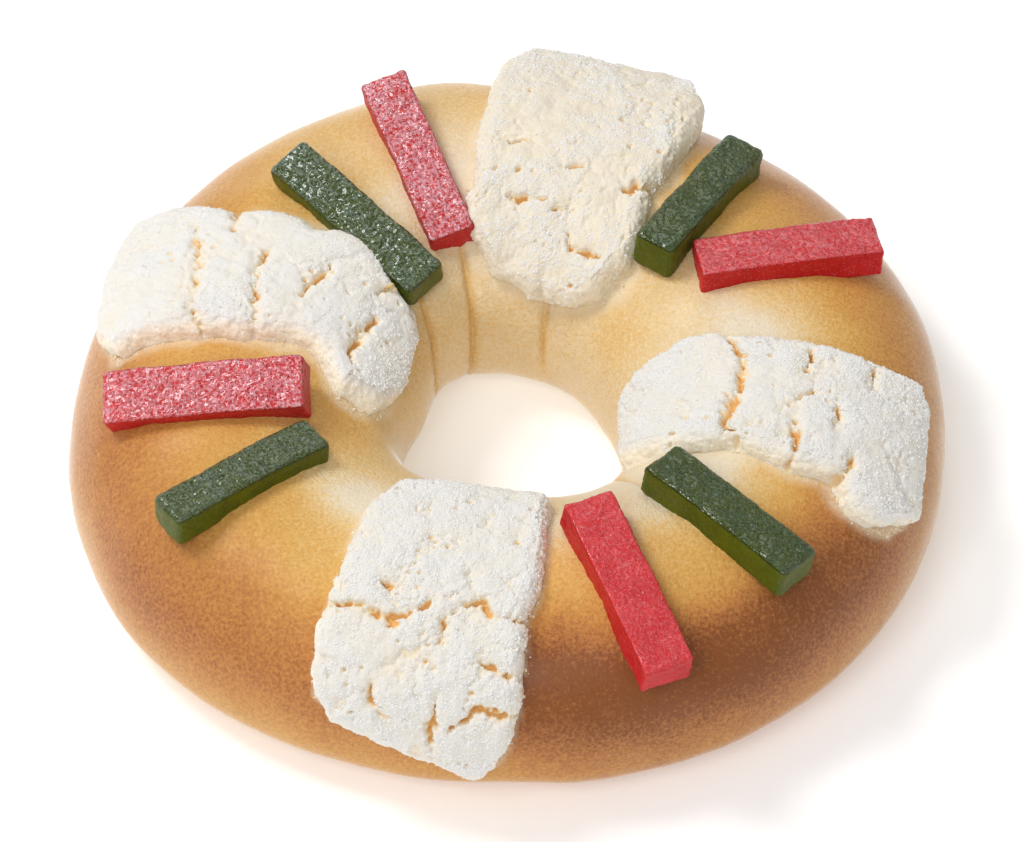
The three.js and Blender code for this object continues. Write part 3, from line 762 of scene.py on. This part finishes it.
def torn_depth(strip, places, crumb):
    """How deep the cracks and pits cut at each place, and how deep the soft valleys beside them are.

    The crumb, about -1 to 1, makes their edges grainy.
    """
    seed = strip["seed"]
    flat = np.column_stack([places, np.zeros(len(places))])
    jag = np.column_stack([layered(flat, JAG, seed + 61), layered(flat, JAG, seed + 63), flat[:, 2]])
    beads = smooth_step(-0.6, 0.4, layered(flat, BEADS, seed + 65))
    beaded = 0.3 + 0.7 * beads
    torn, valley = np.zeros((2, len(places)))
    for width, depth, path in strip["cracks"]:
        line = even_line(path, count=60)
        gap, index = nearest_on(line, places + jag[:, :2])
        share = index / (len(line) - 1)
        pinch = 0.35 + 0.65 * np.sqrt(np.sin(math.pi * np.clip(share, 0.08, 0.92)))
        half = width / 2 * pinch * (0.35 + 0.65 * beads)
        open_here = 1 - smooth_step(0, CRACK_EDGE * half, gap + 0.6 * crumb)
        torn = np.maximum(torn, depth * beaded * open_here)
        valley = np.maximum(valley, bell(gap, VALLEY_HALF_WIDTH) * pinch)

    pitch, share, depth, half = BREAKS
    nearest, second = granules(flat + 1.2 * jag, pitch, seed + 90)
    gap = (second - nearest) * pitch / 2
    fields = layered(flat, BREAK_FIELDS, seed + 95)
    opened = strip["breaks"] * smooth_step(1 - 2 * share, 1.3 - 2 * share, fields)
    open_here = 1 - smooth_step(0, CRACK_EDGE * half, gap + 0.3 * crumb)
    torn = np.maximum(torn, depth * opened * beaded * open_here)
    valley = np.maximum(valley, 0.5 * opened * bell(gap, 1.3))

    for number, (pitch, share, depth, half) in enumerate(PITS):
        nearest, _ = granules(flat + 0.5 * jag, pitch, seed + 71 + 9 * number)
        chosen = lumps(flat, 2.2 * pitch, seed + 75 + 9 * number) + 0.8 * valley > 1 - 2 * share
        hollow = 1 - smooth_step(0.15 * half, CRACK_EDGE * half, nearest * pitch + 0.35 * crumb)
        torn = np.maximum(torn, depth * hollow * chosen)
    return torn, VALLEY_DEPTH * valley


def dome_crumb(solid, on_wall, seed):
    """Rounded crumbs of a few sizes, packed side by side. On the walls the finer ones stand out more."""
    total = np.zeros(len(solid))
    for number, (height, on_wall_share, pitch) in enumerate(CRUMB_DOMES):
        warp = 0.35 * pitch * lumps(solid, 1.3 * pitch, seed + 40 + number)
        nearest, _ = granules(solid + warp[:, None], pitch, seed + 20 + 5 * number)
        total += height * np.where(on_wall, on_wall_share, 1) * (DOME_LEVEL - nearest ** 2)
    return total


def build_strip(name, strip, finish):
    mesh = block_mesh(name, (SLAB_COLUMNS, SLAB_ROWS, SLAB_LAYERS))
    block = corners_of(mesh)
    across = 0.5 - block[:, 0]
    along = 0.5 - block[:, 1]
    level = block[:, 2] + 0.5
    seed = strip["seed"]
    rim = 2 * np.maximum(np.abs(block[:, 0]), np.abs(block[:, 1])) > ALMOST_ONE
    top = level > ALMOST_ONE
    shows = top | rim
    places = fill_outline(strip, across, along)
    thick_end = 1 - smooth_step(0, THICK_END_SHARE, along)
    thickness = strip["inner"] + (strip["outer"] - strip["inner"]) * thick_end

    # The wall stands up straight and then rounds over through the bend, where the top takes over.
    rounding = strip["round"]
    straight = thickness - rounding
    share = straight / (straight + rounding * PASTE_BEND * DEG)
    round_angle = np.clip((level - share) / (1 - share), 0, 1) * PASTE_BEND * DEG
    foot = PASTE_FOOT * (1 - np.clip(level / share, 0, 1))
    inset = rounding * (1 - np.cos(round_angle)) - foot
    wall = np.where(level < share, straight * level / share, straight + rounding * np.sin(round_angle))

    line, outward = outline_of(strip)
    depth_in, _ = nearest_on(line, places)
    near_rim = np.exp(-depth_in / RIM_REACH) * (1 - smooth_step(*RIM_LIMIT, depth_in))
    at_rim = near_rim > 0
    pull = np.zeros_like(places)
    pull[at_rim] = blended_direction(line, outward, places[at_rim], depth_in[at_rim])
    to_corner = [smooth_step(CORNER_START, 1, 2 * np.abs(block[:, axis])) for axis in (0, 1)]
    inward = unit_rows(places.mean(axis=0) - places)
    places = places + inward * (CORNER_CUT * to_corner[0] * to_corner[1])[:, None]
    ragged = np.zeros(len(block))
    ragged[shows] = layered(np.column_stack([places, 0.5 * wall])[shows], RAGGED, seed)
    places = places + pull * ((ragged + PASTE_SWELL - inset) * near_rim)[:, None]

    from_rim = depth_in + rounding / 2 * near_rim
    short = np.maximum(rounding - from_rim, 0)
    face = thickness - rounding + np.sqrt(rounding ** 2 - short ** 2)
    height = np.where(top, face, np.where(rim, wall, 0))
    lift = -PASTE_SUNK + strip["end_lift"] * (1 - smooth_step(0, LIFTED_END_SHARE, along))
    points = strip_point(strip, places, lift + height)
    place_corners(mesh, points)

    # Crumb and cracks stand on the smooth form, along its normals, where it shows.
    solid = np.column_stack([places, height])[shows]
    crumb, torn, valley, pillow, strewn = np.zeros((5, len(block)))
    crumb[shows] = dome_crumb(solid, ~top[shows], seed)
    torn[shows], valley[shows] = torn_depth(strip, solid[:, :2], crumb[shows])
    pillow[shows] = layered(solid, PILLOWS, seed + 52)
    strewn[shows] = strip["sugar"] + layered(solid, SUGAR_DRIFTS, seed + 81)
    cut_in = (valley + torn) * np.where(top, 1, WALL_TEAR)
    relief = strip["crumbly"] * (pillow * np.where(top, 1, WALL_PILLOW) + crumb) - cut_in
    relief *= np.where(top, 1, smooth_step(0, 0.2, level))
    place_corners(mesh, points + normals_of(mesh) * relief[:, None])

    strewn = smooth_step(*SUGAR_BAND, strewn + 0.5 * pillow + 0.35 * crumb)
    strewn *= np.where(top, smooth_step(*SUGAR_FREE_RIM, depth_in), WALL_SUGAR * level)
    paint(
        mesh,
        torn=np.clip(torn / TORN_FULL, 0, 1) * np.where(top, 1, WALL_TEAR),
        # Hollows below the raised crumb get a darker cream, partly painted shade.
        raised=smooth_step(*RAISED_BAND, crumb + 0.6 * pillow - valley),
        # The lower walls get a lighter colour, painted light that lifts their shade.
        wall=np.where(top, 0, 1 - smooth_step(0.5, 1, level)),
        cream=np.full(len(block), strip["cream"]),
        sugar=strewn * (1 - smooth_step(*CRACK_LOSS, torn)) * shows,
    )
    return new_piece(name + "_paste", mesh, finish, [name])


# ---- fruit-paste bars

def bar_matrix(x, y, size, turn, dip, lean, sag):
    """Rows are the bar's outward, left and up directions, and the last row is its centre."""
    level = math.cos(dip * DEG)
    cosine = math.cos(turn * DEG)
    sine = math.sin(turn * DEG)
    outward = np.array([cosine * level, sine * level, -math.sin(dip * DEG)])
    right = np.array([sine, -cosine, 0])
    upright = np.cross(right, outward)
    up = right * math.sin(lean * DEG) + upright * math.cos(lean * DEG)
    left = np.cross(up, outward)
    centre = (x, y, skin_height(x, y) + size[2] / 2 - BAR_SINK + sag / 3)
    return np.array([outward, left, up, centre])


def build_bar(name, bar, finish):
    x, y, size, turn, dip, lean, full_sag, glint = bar
    sag = full_sag * BAR_SAG_SHARE
    seed = 100 + sorted(BARS).index(name) * 7
    mesh = block_mesh(name, BAR_STEPS)
    half = np.array(size) / 2
    block = corners_of(mesh) * size
    radius = EDGE_ROUND[name.split("_")[0]]
    core = np.clip(block, radius - half, half - radius)
    out = unit_rows(block - core)
    top = smooth_step(*FACING_UP, out[:, 2])
    warp = layered(block, PEBBLE_WARP, seed + 5)
    pebble, _ = granules(block + warp[:, None], PEBBLE_PITCH, seed + 3)
    on_top = LEAST_PEBBLES + (1 - LEAST_PEBBLES) * glint
    strength = SIDE_PEBBLES + (on_top - SIDE_PEBBLES) * top
    relief = layered(block, BAR_RELIEF, seed) + PEBBLE_HEIGHT * (DOME_LEVEL - pebble ** 2) * strength
    body = core + out * (radius + relief)[:, None]
    body[:, 2] -= sag * (body[:, 0] / half[0]) ** 2
    axes = bar_matrix(x, y, size, turn, dip, lean, sag)
    place_corners(mesh, body @ axes[:3] + axes[3])
    # The glint mask sets both the real gloss and the painted pale highlights on the top.
    paint(mesh, glint=glint * top)
    return new_piece(name + "_paste", mesh, finish, [name])


# ---- loose sugar and crumbs

def random_turns(rng, count):
    """Evenly spread rotations, as matrices."""
    fours = rng.normal(size=(4, count)).T
    return np.array([Quaternion(four).normalized().to_matrix() for four in fours])


def stamp_out(name, stamp, places, turns, sizes):
    """One mesh with the stamp repeated at every place, in frame metres."""
    shape = corners_of(stamp)
    faces = np.array([list(face.vertices) for face in stamp.polygons])
    points = np.einsum("nij,nmj->nmi", turns, shape[None] * sizes[:, None, :] * MM) + places[:, None, :]
    offsets = np.arange(len(places))[:, None, None] * len(shape)
    mesh = bpy.data.meshes.new(name)
    mesh.from_pydata(points.reshape(-1, 3), [], (faces[None] + offsets).reshape(-1, faces.shape[1]))
    return mesh


def crystal_stamp():
    """A coarse sugar crystal: a block with one end narrower."""
    bm = bmesh.new()
    bmesh.ops.create_cube(bm, size=1)
    end = [v for v in bm.verts if v.co.z > 0]
    bmesh.ops.scale(bm, vec=(0.7, 0.85, 1), verts=end)
    bmesh.ops.triangulate(bm, faces=bm.faces)
    return mesh_from(bm, "crystal")


def grain_stamp():
    """A fine grain with eight faces."""
    bm = bmesh.new()
    bmesh.ops.create_uvsphere(bm, u_segments=4, v_segments=2, radius=0.62)
    return mesh_from(bm, "grain")


def crumb_stamp():
    bm = bmesh.new()
    bmesh.ops.create_icosphere(bm, subdivisions=1, radius=0.55)
    rng = np.random.default_rng(17)
    for vert in bm.verts:
        vert.co *= 1 + 0.6 * (rng.random() - 0.5)
    return mesh_from(bm, "crumb_stamp")


def sugared_faces(strips):
    """The corners and normals of every face that may hold sugar, with its amount."""
    corners = []
    outs = []
    amounts = []
    for piece in strips:
        mesh = piece.data
        faces = rows_of(mesh.loops, "vertex_index", 1, np.int64).reshape(-1, 4)
        amount = rows_of(mesh.attributes["sugar"].data, "value", 1, np.float32)[:, 0]
        of_face = amount[faces].mean(axis=1)
        faces = faces[of_face > LEAST_SUGAR]
        amounts.append(of_face[of_face > LEAST_SUGAR])
        corners.append(corners_of(mesh)[faces])
        outs.append(normals_of(mesh)[faces].mean(axis=1))
    return np.vstack(corners), np.vstack(outs), np.concatenate(amounts)


def sugar_on(ground, name, stamp, sugar, finish):
    """Strews crystals over the paste, more where it is marked as sugared and none in its cracks."""
    corners, outs, amounts = ground
    rng = np.random.default_rng(sugar["seed"])
    count = sugar["count"]
    picked = rng.choice(len(corners), size=count, p=amounts / amounts.sum())
    a, b = rng.random((2, count, 1))
    face = corners[picked]
    near = face[:, 0] * (1 - a) + face[:, 1] * a
    far = face[:, 3] * (1 - a) + face[:, 2] * a
    spots = near * (1 - b) + far * b
    smallest, largest = sugar["size"]
    size = smallest + (largest - smallest) * rng.random(count) ** 2
    sizes = size[:, None] * (0.75 + 0.5 * rng.random((count, 3)))
    places = spots + outs[picked] * (size * (0.5 - sugar["sunk"]))[:, None] * MM
    mesh = stamp_out(name, stamp, places, random_turns(rng, count), sizes)
    return new_piece(name, mesh, finish)


def build_crumbs(finish):
    """Crumbs of paste that fell on the dough close to the strips."""
    rng = np.random.default_rng(CRUMBS["seed"])
    share = CRUMBS["count"] // len(STRIPS)
    smallest, largest = CRUMBS["size"]
    places = []
    sizes = []
    for strip in STRIPS.values():
        line, outward = outline_of(strip)
        pick = rng.integers(len(line), size=share)
        away = CRUMBS["reach"] * rng.random(share) ** 4 + 0.2
        spot = line[pick] + outward[pick] * away[:, None]
        size = smallest + (largest - smallest) * rng.random(share) ** 3
        places.append(to_frame(strip_point(strip, spot, size * 0.15)))
        sizes.append(size)
    places = np.vstack(places)
    sizes = np.concatenate(sizes)[:, None] * (0.7 + 0.6 * rng.random((len(places), 3)))
    mesh = stamp_out("crumbs", crumb_stamp(), places, random_turns(rng, len(places)), sizes)
    return new_piece("fallen_crumbs", mesh, finish)


# ---- finishes

def srgb(red, green, blue):
    """A colour named as on a paint card, from 0 to 255, in the shader's linear values."""
    shares = [value / 255 for value in (red, green, blue)]
    return tuple(v / 12.92 if v <= 0.04045 else ((v + 0.055) / 1.055) ** 2.4 for v in shares) + (1,)


# The crust by how deeply it is baked.
CRUST_COLOURS = (
    (0.0, srgb(244, 228, 200)),
    (0.2, srgb(239, 206, 148)),
    (0.4, srgb(229, 178, 94)),
    (0.6, srgb(213, 150, 74)),
    (0.8, srgb(187, 119, 60)),
    (1.0, srgb(142, 80, 34)),
)
DUST_COLOUR = srgb(246, 229, 197)
PASTE_WHITE = srgb(227, 226, 223)
PASTE_CREAM = srgb(233, 220, 196)
# Painted light: the lower walls of the paste are lighter and warmer than its top, to lift the shade on
# them.
PASTE_WALL_PAINTED_LIGHT = srgb(254, 243, 219)
# Partly painted shade: the hollows between crumbs and the valleys beside cracks are a warmer, slightly
# darker cream.
PASTE_HOLLOW_SHADE = srgb(233, 221, 200)
PASTE_GAP = srgb(228, 221, 208)
TORN_EDGE = srgb(240, 222, 188)
TORN_DEEP = srgb(228, 180, 112)
SUGAR_DARK = srgb(184, 181, 177)
SUGAR_LIGHT = srgb(198, 196, 193)
SUGAR_LIT = (1, 0.995, 0.985, 1)
CRUMB_COLOUR = srgb(243, 228, 200)
WHITE = (1, 1, 1, 1)
PALE_FLOOR = (0.93, 0.93, 0.93, 1)

# Fruit paste: its colour inside, on its face and the pale colour of its painted glint highlights, how
# strong the painted glints and its wet gloss are, the least share of its relief and the relief's depth,
# and how far each colour glows through.
FRUITS = {
    "red": {
        "deep": srgb(190, 22, 26), "face": srgb(213, 50, 54), "pale": srgb(251, 188, 197),
        "painted_glint_share": 0.88, "wet": 0.6, "least": 0.1, "depth": 0.0017, "glow": (1.0, 0.12, 0.12),
    },
    "green": {
        "deep": srgb(86, 92, 2), "face": srgb(48, 70, 3), "pale": srgb(196, 214, 196),
        "painted_glint_share": 0.38, "wet": 0.8, "least": 0.6, "depth": 0.0021, "glow": (0.5, 0.6, 0.05),
    },
}


class Shade:
    """A number or colour that a node puts out. Sums with shades add the nodes for them."""

    def __init__(self, node, output):
        self.node = node
        self.socket = node.outputs[output]

    def maths(self, operation, other, turned=False):
        first, second = (other, self) if turned else (self, other)
        return add(self.node.id_data, "Math", 0, {0: first, 1: second}, operation=operation)

    def clamped(self):
        self.node.use_clamp = True
        return self

    __add__ = __radd__ = partialmethod(maths, "ADD")
    __mul__ = __rmul__ = partialmethod(maths, "MULTIPLY")
    __sub__ = partialmethod(maths, "SUBTRACT")
    __rsub__ = partialmethod(maths, "SUBTRACT", turned=True)
    __truediv__ = partialmethod(maths, "DIVIDE")
    __pow__ = partialmethod(maths, "POWER")


def join(node, sockets):
    """Sets a node's inputs, by name or number, to values, or joins them to shades."""
    for key, value in sockets.items():
        if isinstance(value, Shade):
            node.id_data.links.new(value.socket, node.inputs[key])
        else:
            node.inputs[key].default_value = value


def add(tree, kind, output, sockets, **settings):
    """What a new node of this kind puts out, with its settings and inputs."""
    node = tree.nodes.new("ShaderNode" + kind)
    for key, value in settings.items():
        setattr(node, key, value)
    join(node, sockets)
    return Shade(node, output)


def band(value, low, high):
    """0 below low, 1 above high, and smooth between them."""
    sockets = {"Value": value, "From Min": low, "From Max": high}
    return add(value.node.id_data, "MapRange", 0, sockets, interpolation_type="SMOOTHSTEP")


def blend(factor, first, second):
    """The first colour at 0 and the second at 1."""
    return add(factor.node.id_data, "Mix", 2, {0: factor, 6: first, 7: second}, data_type="RGBA")


def colour_ramp(value, stops):
    ramped = add(value.node.id_data, "ValToRGB", 0, {0: value})
    ramp = ramped.node.color_ramp
    while len(ramp.elements) < len(stops):
        ramp.elements.new(1)
    for element, (place, colour) in zip(ramp.elements, stops):
        element.position = place
        element.color = colour
    return ramped


def noise(where, scale, detail=3.0, roughness=0.55, distortion=0.0):
    """Noise from 0 to 1, with scale as lumps per metre."""
    sockets = {"Scale": scale, "Detail": detail, "Roughness": roughness, "Distortion": distortion}
    return add(where.node.id_data, "TexNoise", "Fac", {"Vector": where, **sockets})


def cells(where, scale):
    """Distance to the middle of the nearest of scattered cells, with scale as cells per metre."""
    return add(where.node.id_data, "TexVoronoi", "Distance", {"Vector": where, "Scale": scale})


def bump(height, strength, distance, **under):
    """A relief's normal, laid over the Normal under it."""
    sockets = {"Height": height, "Strength": strength, "Distance": distance, **under}
    return add(height.node.id_data, "Bump", "Normal", sockets)


def painted(where, name):
    return add(where.node.id_data, "Attribute", "Fac", {}, attribute_name=name)


def on_object(tree):
    """The place on the object."""
    return add(tree, "TexCoord", "Object", {})


def new_group(name, inputs, outputs):
    """A group with inputs {name: default}. Gives its inputs, its end and the place on the object."""
    tree = bpy.data.node_groups.new(name, "ShaderNodeTree")
    for socket, default in inputs.items():
        made = tree.interface.new_socket(socket, in_out="INPUT", socket_type="NodeSocketFloat")
        made.default_value = default
    for socket in outputs:
        tree.interface.new_socket(socket, in_out="OUTPUT", socket_type="NodeSocketFloat")
    start = tree.nodes.new("NodeGroupInput")
    end = tree.nodes.new("NodeGroupOutput")
    return [Shade(start, socket) for socket in inputs], end, on_object(tree)


def place_group(where, group, **values):
    """What a copy of the group puts out with these values."""
    node = add(where.node.id_data, "Group", 0, values, node_tree=group).node
    return [Shade(node, number) for number in range(len(node.outputs))]


def grain_group():
    """Fine grain of baked or grated food: soft mottling, and a height."""
    inputs = {"Coarse": 400.0, "Fine": 1600.0}
    (coarse, fine), end, where = new_group("fine grain", inputs, ("Mottle", "Height"))
    mottle = noise(where, coarse, detail=4)
    sharp = noise(where, fine, detail=3, roughness=0.7)
    join(end, {"Mottle": mottle, "Height": mottle * 0.6 + sharp * 0.4})
    return end.id_data


def worm_group():
    """Wandering ridges where folded noise passes its middle, and specks between them."""
    inputs = {"Scale": 420.0, "Width": 0.1}
    (scale, width), end, where = new_group("wandering ridges", inputs, ("Lines", "Specks"))
    folded = noise(where, scale, detail=1.0, roughness=0.5, distortion=0.6)
    line = (1.0 - (folded - 0.5).maths("ABSOLUTE", 0.0) / width).clamped()
    broken = band(noise(where, scale * 0.7), 0.38, 0.6)
    join(end, {"Lines": line * broken, "Specks": 1.0 - band(cells(where, scale * 2.2), 0.12, 0.24)})
    return end.id_data


def new_material(name):
    material = bpy.data.materials.new(name)
    material.use_nodes = True
    return material, material.node_tree.nodes["Principled BSDF"]


def plain_finish(name, sockets):
    material, shader = new_material(name)
    join(shader, sockets)
    return material


def crust_finish(grain):
    material, shader = new_material("baked crust")
    where = on_object(material.node_tree)
    mottle, height = place_group(where, grain, Coarse=1000.0, Fine=2600.0)
    # The browning map holds the baking and, in places, painted shade and light.
    browned_and_shaded = painted(where, "browning")
    broad = noise(where, 45.0, detail=3, roughness=0.5, distortion=0.2)
    uneven = (broad - 0.5) * 0.1 + (mottle - 0.5) * 0.08 + (height - 0.5) * 0.8
    baked = browned_and_shaded + uneven * (browned_and_shaded * 0.5 + 0.75)
    dusted = painted(where, "dust") * (band(height, 0.35, 0.6) * 0.6 + 0.3)
    wrinkles = noise(where, 330.0, detail=5, roughness=0.7, distortion=0.8)
    join(shader, {
        "Base Color": blend(dusted, colour_ramp(baked, CRUST_COLOURS), DUST_COLOUR),
        "Roughness": mottle * 0.25 + 0.34,
        "Normal": bump(height, 1.0, 0.0008, Normal=bump(wrinkles, 0.5, 0.0011)),
        "Subsurface Weight": 0.05,
        "Subsurface Radius": (1.0, 0.5, 0.22),
        "Subsurface Scale": 0.002,
        "IOR": 1.3,
        "Coat Weight": 0.9,
        "Coat IOR": 1.25,
        "Coat Roughness": 0.32,
        "Sheen Weight": 0.7,
        "Sheen Roughness": 0.2,
    })
    return material


def paste_finish(grain):
    material, shader = new_material("crumbly sugar paste")
    where = on_object(material.node_tree)
    _, height = place_group(where, grain, Coarse=420.0, Fine=2100.0)
    creamy = (painted(where, "cream") + (noise(where, 95.0, detail=5) - 0.5) * 1.2).clamped()
    grains = cells(where, 1450.0)
    torn = painted(where, "torn")
    colour = blend(creamy, PASTE_WHITE, PASTE_CREAM)
    # Painted light lifts the shade on the lower walls.
    colour = blend(painted(where, "wall") * 0.9, colour, PASTE_WALL_PAINTED_LIGHT)
    # Partly painted shade: a darker cream in the hollows below the raised crumb.
    colour = blend(painted(where, "raised"), PASTE_HOLLOW_SHADE, colour)
    colour = blend(band(grains, 0.35, 0.75) * 0.4, colour, PASTE_GAP)
    colour = blend(band(torn, 0.1, 0.45), colour, TORN_EDGE)
    join(shader, {
        "Base Color": blend(band(torn, 0.35, 0.9), colour, TORN_DEEP),
        "Roughness": 0.7,
        "Normal": bump(height, 0.1, 0.0006, Normal=bump(1.0 - grains, 0.22, 0.0006)),
        "Subsurface Weight": 0.5,
        "Subsurface Radius": (1.0, 0.9, 0.78),
        "Subsurface Scale": 0.0011,
    })
    return material


def sugar_finish():
    """Sugar lets light through, and a little light of its own stands for that."""
    material, shader = new_material("sugar crystal")
    where = on_object(material.node_tree)
    join(shader, {
        "Base Color": blend(noise(where, 900.0, detail=1), SUGAR_DARK, SUGAR_LIGHT),
        "Roughness": 0.45,
        "Emission Color": SUGAR_LIT,
        "Emission Strength": SUGAR_GLOW,
        "Coat Weight": 0.25,
        "Coat Roughness": 0.12,
    })
    return material


def fruit_finish(name, look, grain, worms):
    """Set fruit paste: deep inside, a little paler on its face, with a pebbled skin that glints, and
    painted highlights in pale colour where it glints.
    """
    material, shader = new_material(name)
    where = on_object(material.node_tree)
    mottle, _ = place_group(where, grain, Coarse=620.0, Fine=2400.0)
    lines, specks = place_group(where, worms, Scale=620.0, Width=0.12)
    glint = painted(where, "glint")
    upward = band(glint, 0.0, 0.3)
    rough = noise(where, 1050.0, detail=1.5, roughness=0.6, distortion=0.3)
    cloudy = band(noise(where, 130.0, detail=4), 0.38, 0.66)

    # Painted highlights: pale colour on the ridges where the face glints, in drifts, and as specks all
    # over, stands for glints of light on the wet pebbled skin.
    ridges = lines.maths("MAXIMUM", band(rough, 0.42, 0.64) * 0.8)
    painted_glints = ((ridges * glint ** 1.7).clamped() * (cloudy * 0.4 + 0.74)).clamped()
    glint_paint = painted_glints.maths("MAXIMUM", specks * (glint * 0.3 + 0.4))
    colour = blend((cloudy * 0.35 + upward * 0.6).clamped(), look["deep"], look["face"])
    strength = upward * look["least"] + glint * (1 - look["least"])
    join(shader, {
        "Base Color": blend(glint_paint * look["painted_glint_share"], colour, look["pale"]),
        "Roughness": 0.4 - band(glint, 0.0, 0.22) * 0.3 + mottle * 0.15,
        "Normal": bump((rough + lines * 0.3) * strength, 1.0, look["depth"]),
        "Subsurface Weight": 0.45,
        "Subsurface Radius": look["glow"],
        "Subsurface Scale": 0.003,
        "Specular IOR Level": 0.25,
        "Coat Weight": band(glint, -0.1, 0.6) * look["wet"],
        "Coat Roughness": 0.08,
    })
    return material


# ---- camera, floor and light

def add_camera():
    angle = CAMERA_HEIGHT_ANGLE * DEG
    data = bpy.data.cameras.new("camera")
    data.sensor_width = SENSOR_WIDTH
    data.lens = FOCAL_PIXELS * SENSOR_WIDTH / PICTURE_WIDTH
    data.shift_x = -PICTURE_SHIFT[0] / PICTURE_WIDTH
    data.shift_y = -PICTURE_SHIFT[1] / PICTURE_WIDTH
    data.clip_end = 20
    camera = new_object("camera", data)
    place = (0, -CAMERA_DISTANCE * math.cos(angle), CAMERA_DISTANCE * math.sin(angle))
    camera.location = to_frame(np.array(place))
    camera.rotation_euler = (math.pi / 2 - angle, 0, 0)
    bpy.context.scene.camera = camera


def add_floor():
    bm = bmesh.new()
    bmesh.ops.create_grid(bm, x_segments=1, y_segments=1, size=FLOOR_SIZE * MM / 2)
    floor = new_object("floor", mesh_from(bm, "floor"))
    floor.location.z = -FLOOR_GAP * MM
    floor.data.materials.append(plain_finish("pale floor", {
        "Base Color": PALE_FLOOR,
        "Roughness": 0.9,
        "Emission Color": WHITE,
        "Emission Strength": FLOOR_GLOW,
    }))


def add_softbox(name, azimuth, elevation, distance, size, strength):
    """A soft light that faces the ring. Azimuth 0 is the front, 90 the right and 180 the back.

    The strength is how bright it alone makes a white face that is turned to it.
    """
    data = bpy.data.lights.new(name, "AREA")
    data.shape = "RECTANGLE"
    data.size, data.size_y = size
    data.energy = strength * (math.pi * distance) ** 2
    lamp = new_object(name, data)
    flat = math.cos(elevation * DEG)
    x, y = flat * math.sin(azimuth * DEG), -flat * math.cos(azimuth * DEG)
    lamp.location = np.array([x, y, math.sin(elevation * DEG)]) * distance
    lamp.rotation_euler = (-lamp.location).to_track_quat("-Z", "Y").to_euler()


def add_light():
    world = bpy.data.worlds.new("studio")
    world.use_nodes = True
    room = world.node_tree.nodes["Background"]
    join(room, {"Color": WHITE, "Strength": ROOM_LIGHT})
    bpy.context.scene.world = world
    for name, light in LIGHTS.items():
        add_softbox(name, *light)
    bpy.context.scene.view_settings.view_transform = "Standard"
    bpy.context.scene.view_settings.look = "None"


# ---- making it

add_camera()
add_floor()
add_light()

grain = grain_group()
worms = worm_group()
crust = crust_finish(grain)
paste = paste_finish(grain)
sugar = sugar_finish()
fruits = {
    colour: fruit_finish(colour + " fruit paste", look, grain, worms) for colour, look in FRUITS.items()
}

build_bread(crust)
strips = [build_strip(name, strip, paste) for name, strip in STRIPS.items()]
for name, bar in BARS.items():
    colour = name.split("_")[0]
    build_bar(name, bar, fruits[colour])
ground = sugared_faces(strips)
sugar_on(ground, "coarse_sugar", crystal_stamp(), COARSE_SUGAR, sugar)
sugar_on(ground, "fine_sugar", grain_stamp(), FINE_SUGAR, sugar)
build_crumbs(plain_finish("fallen crumb", {"Base Color": CRUMB_COLOUR, "Roughness": 0.8}))
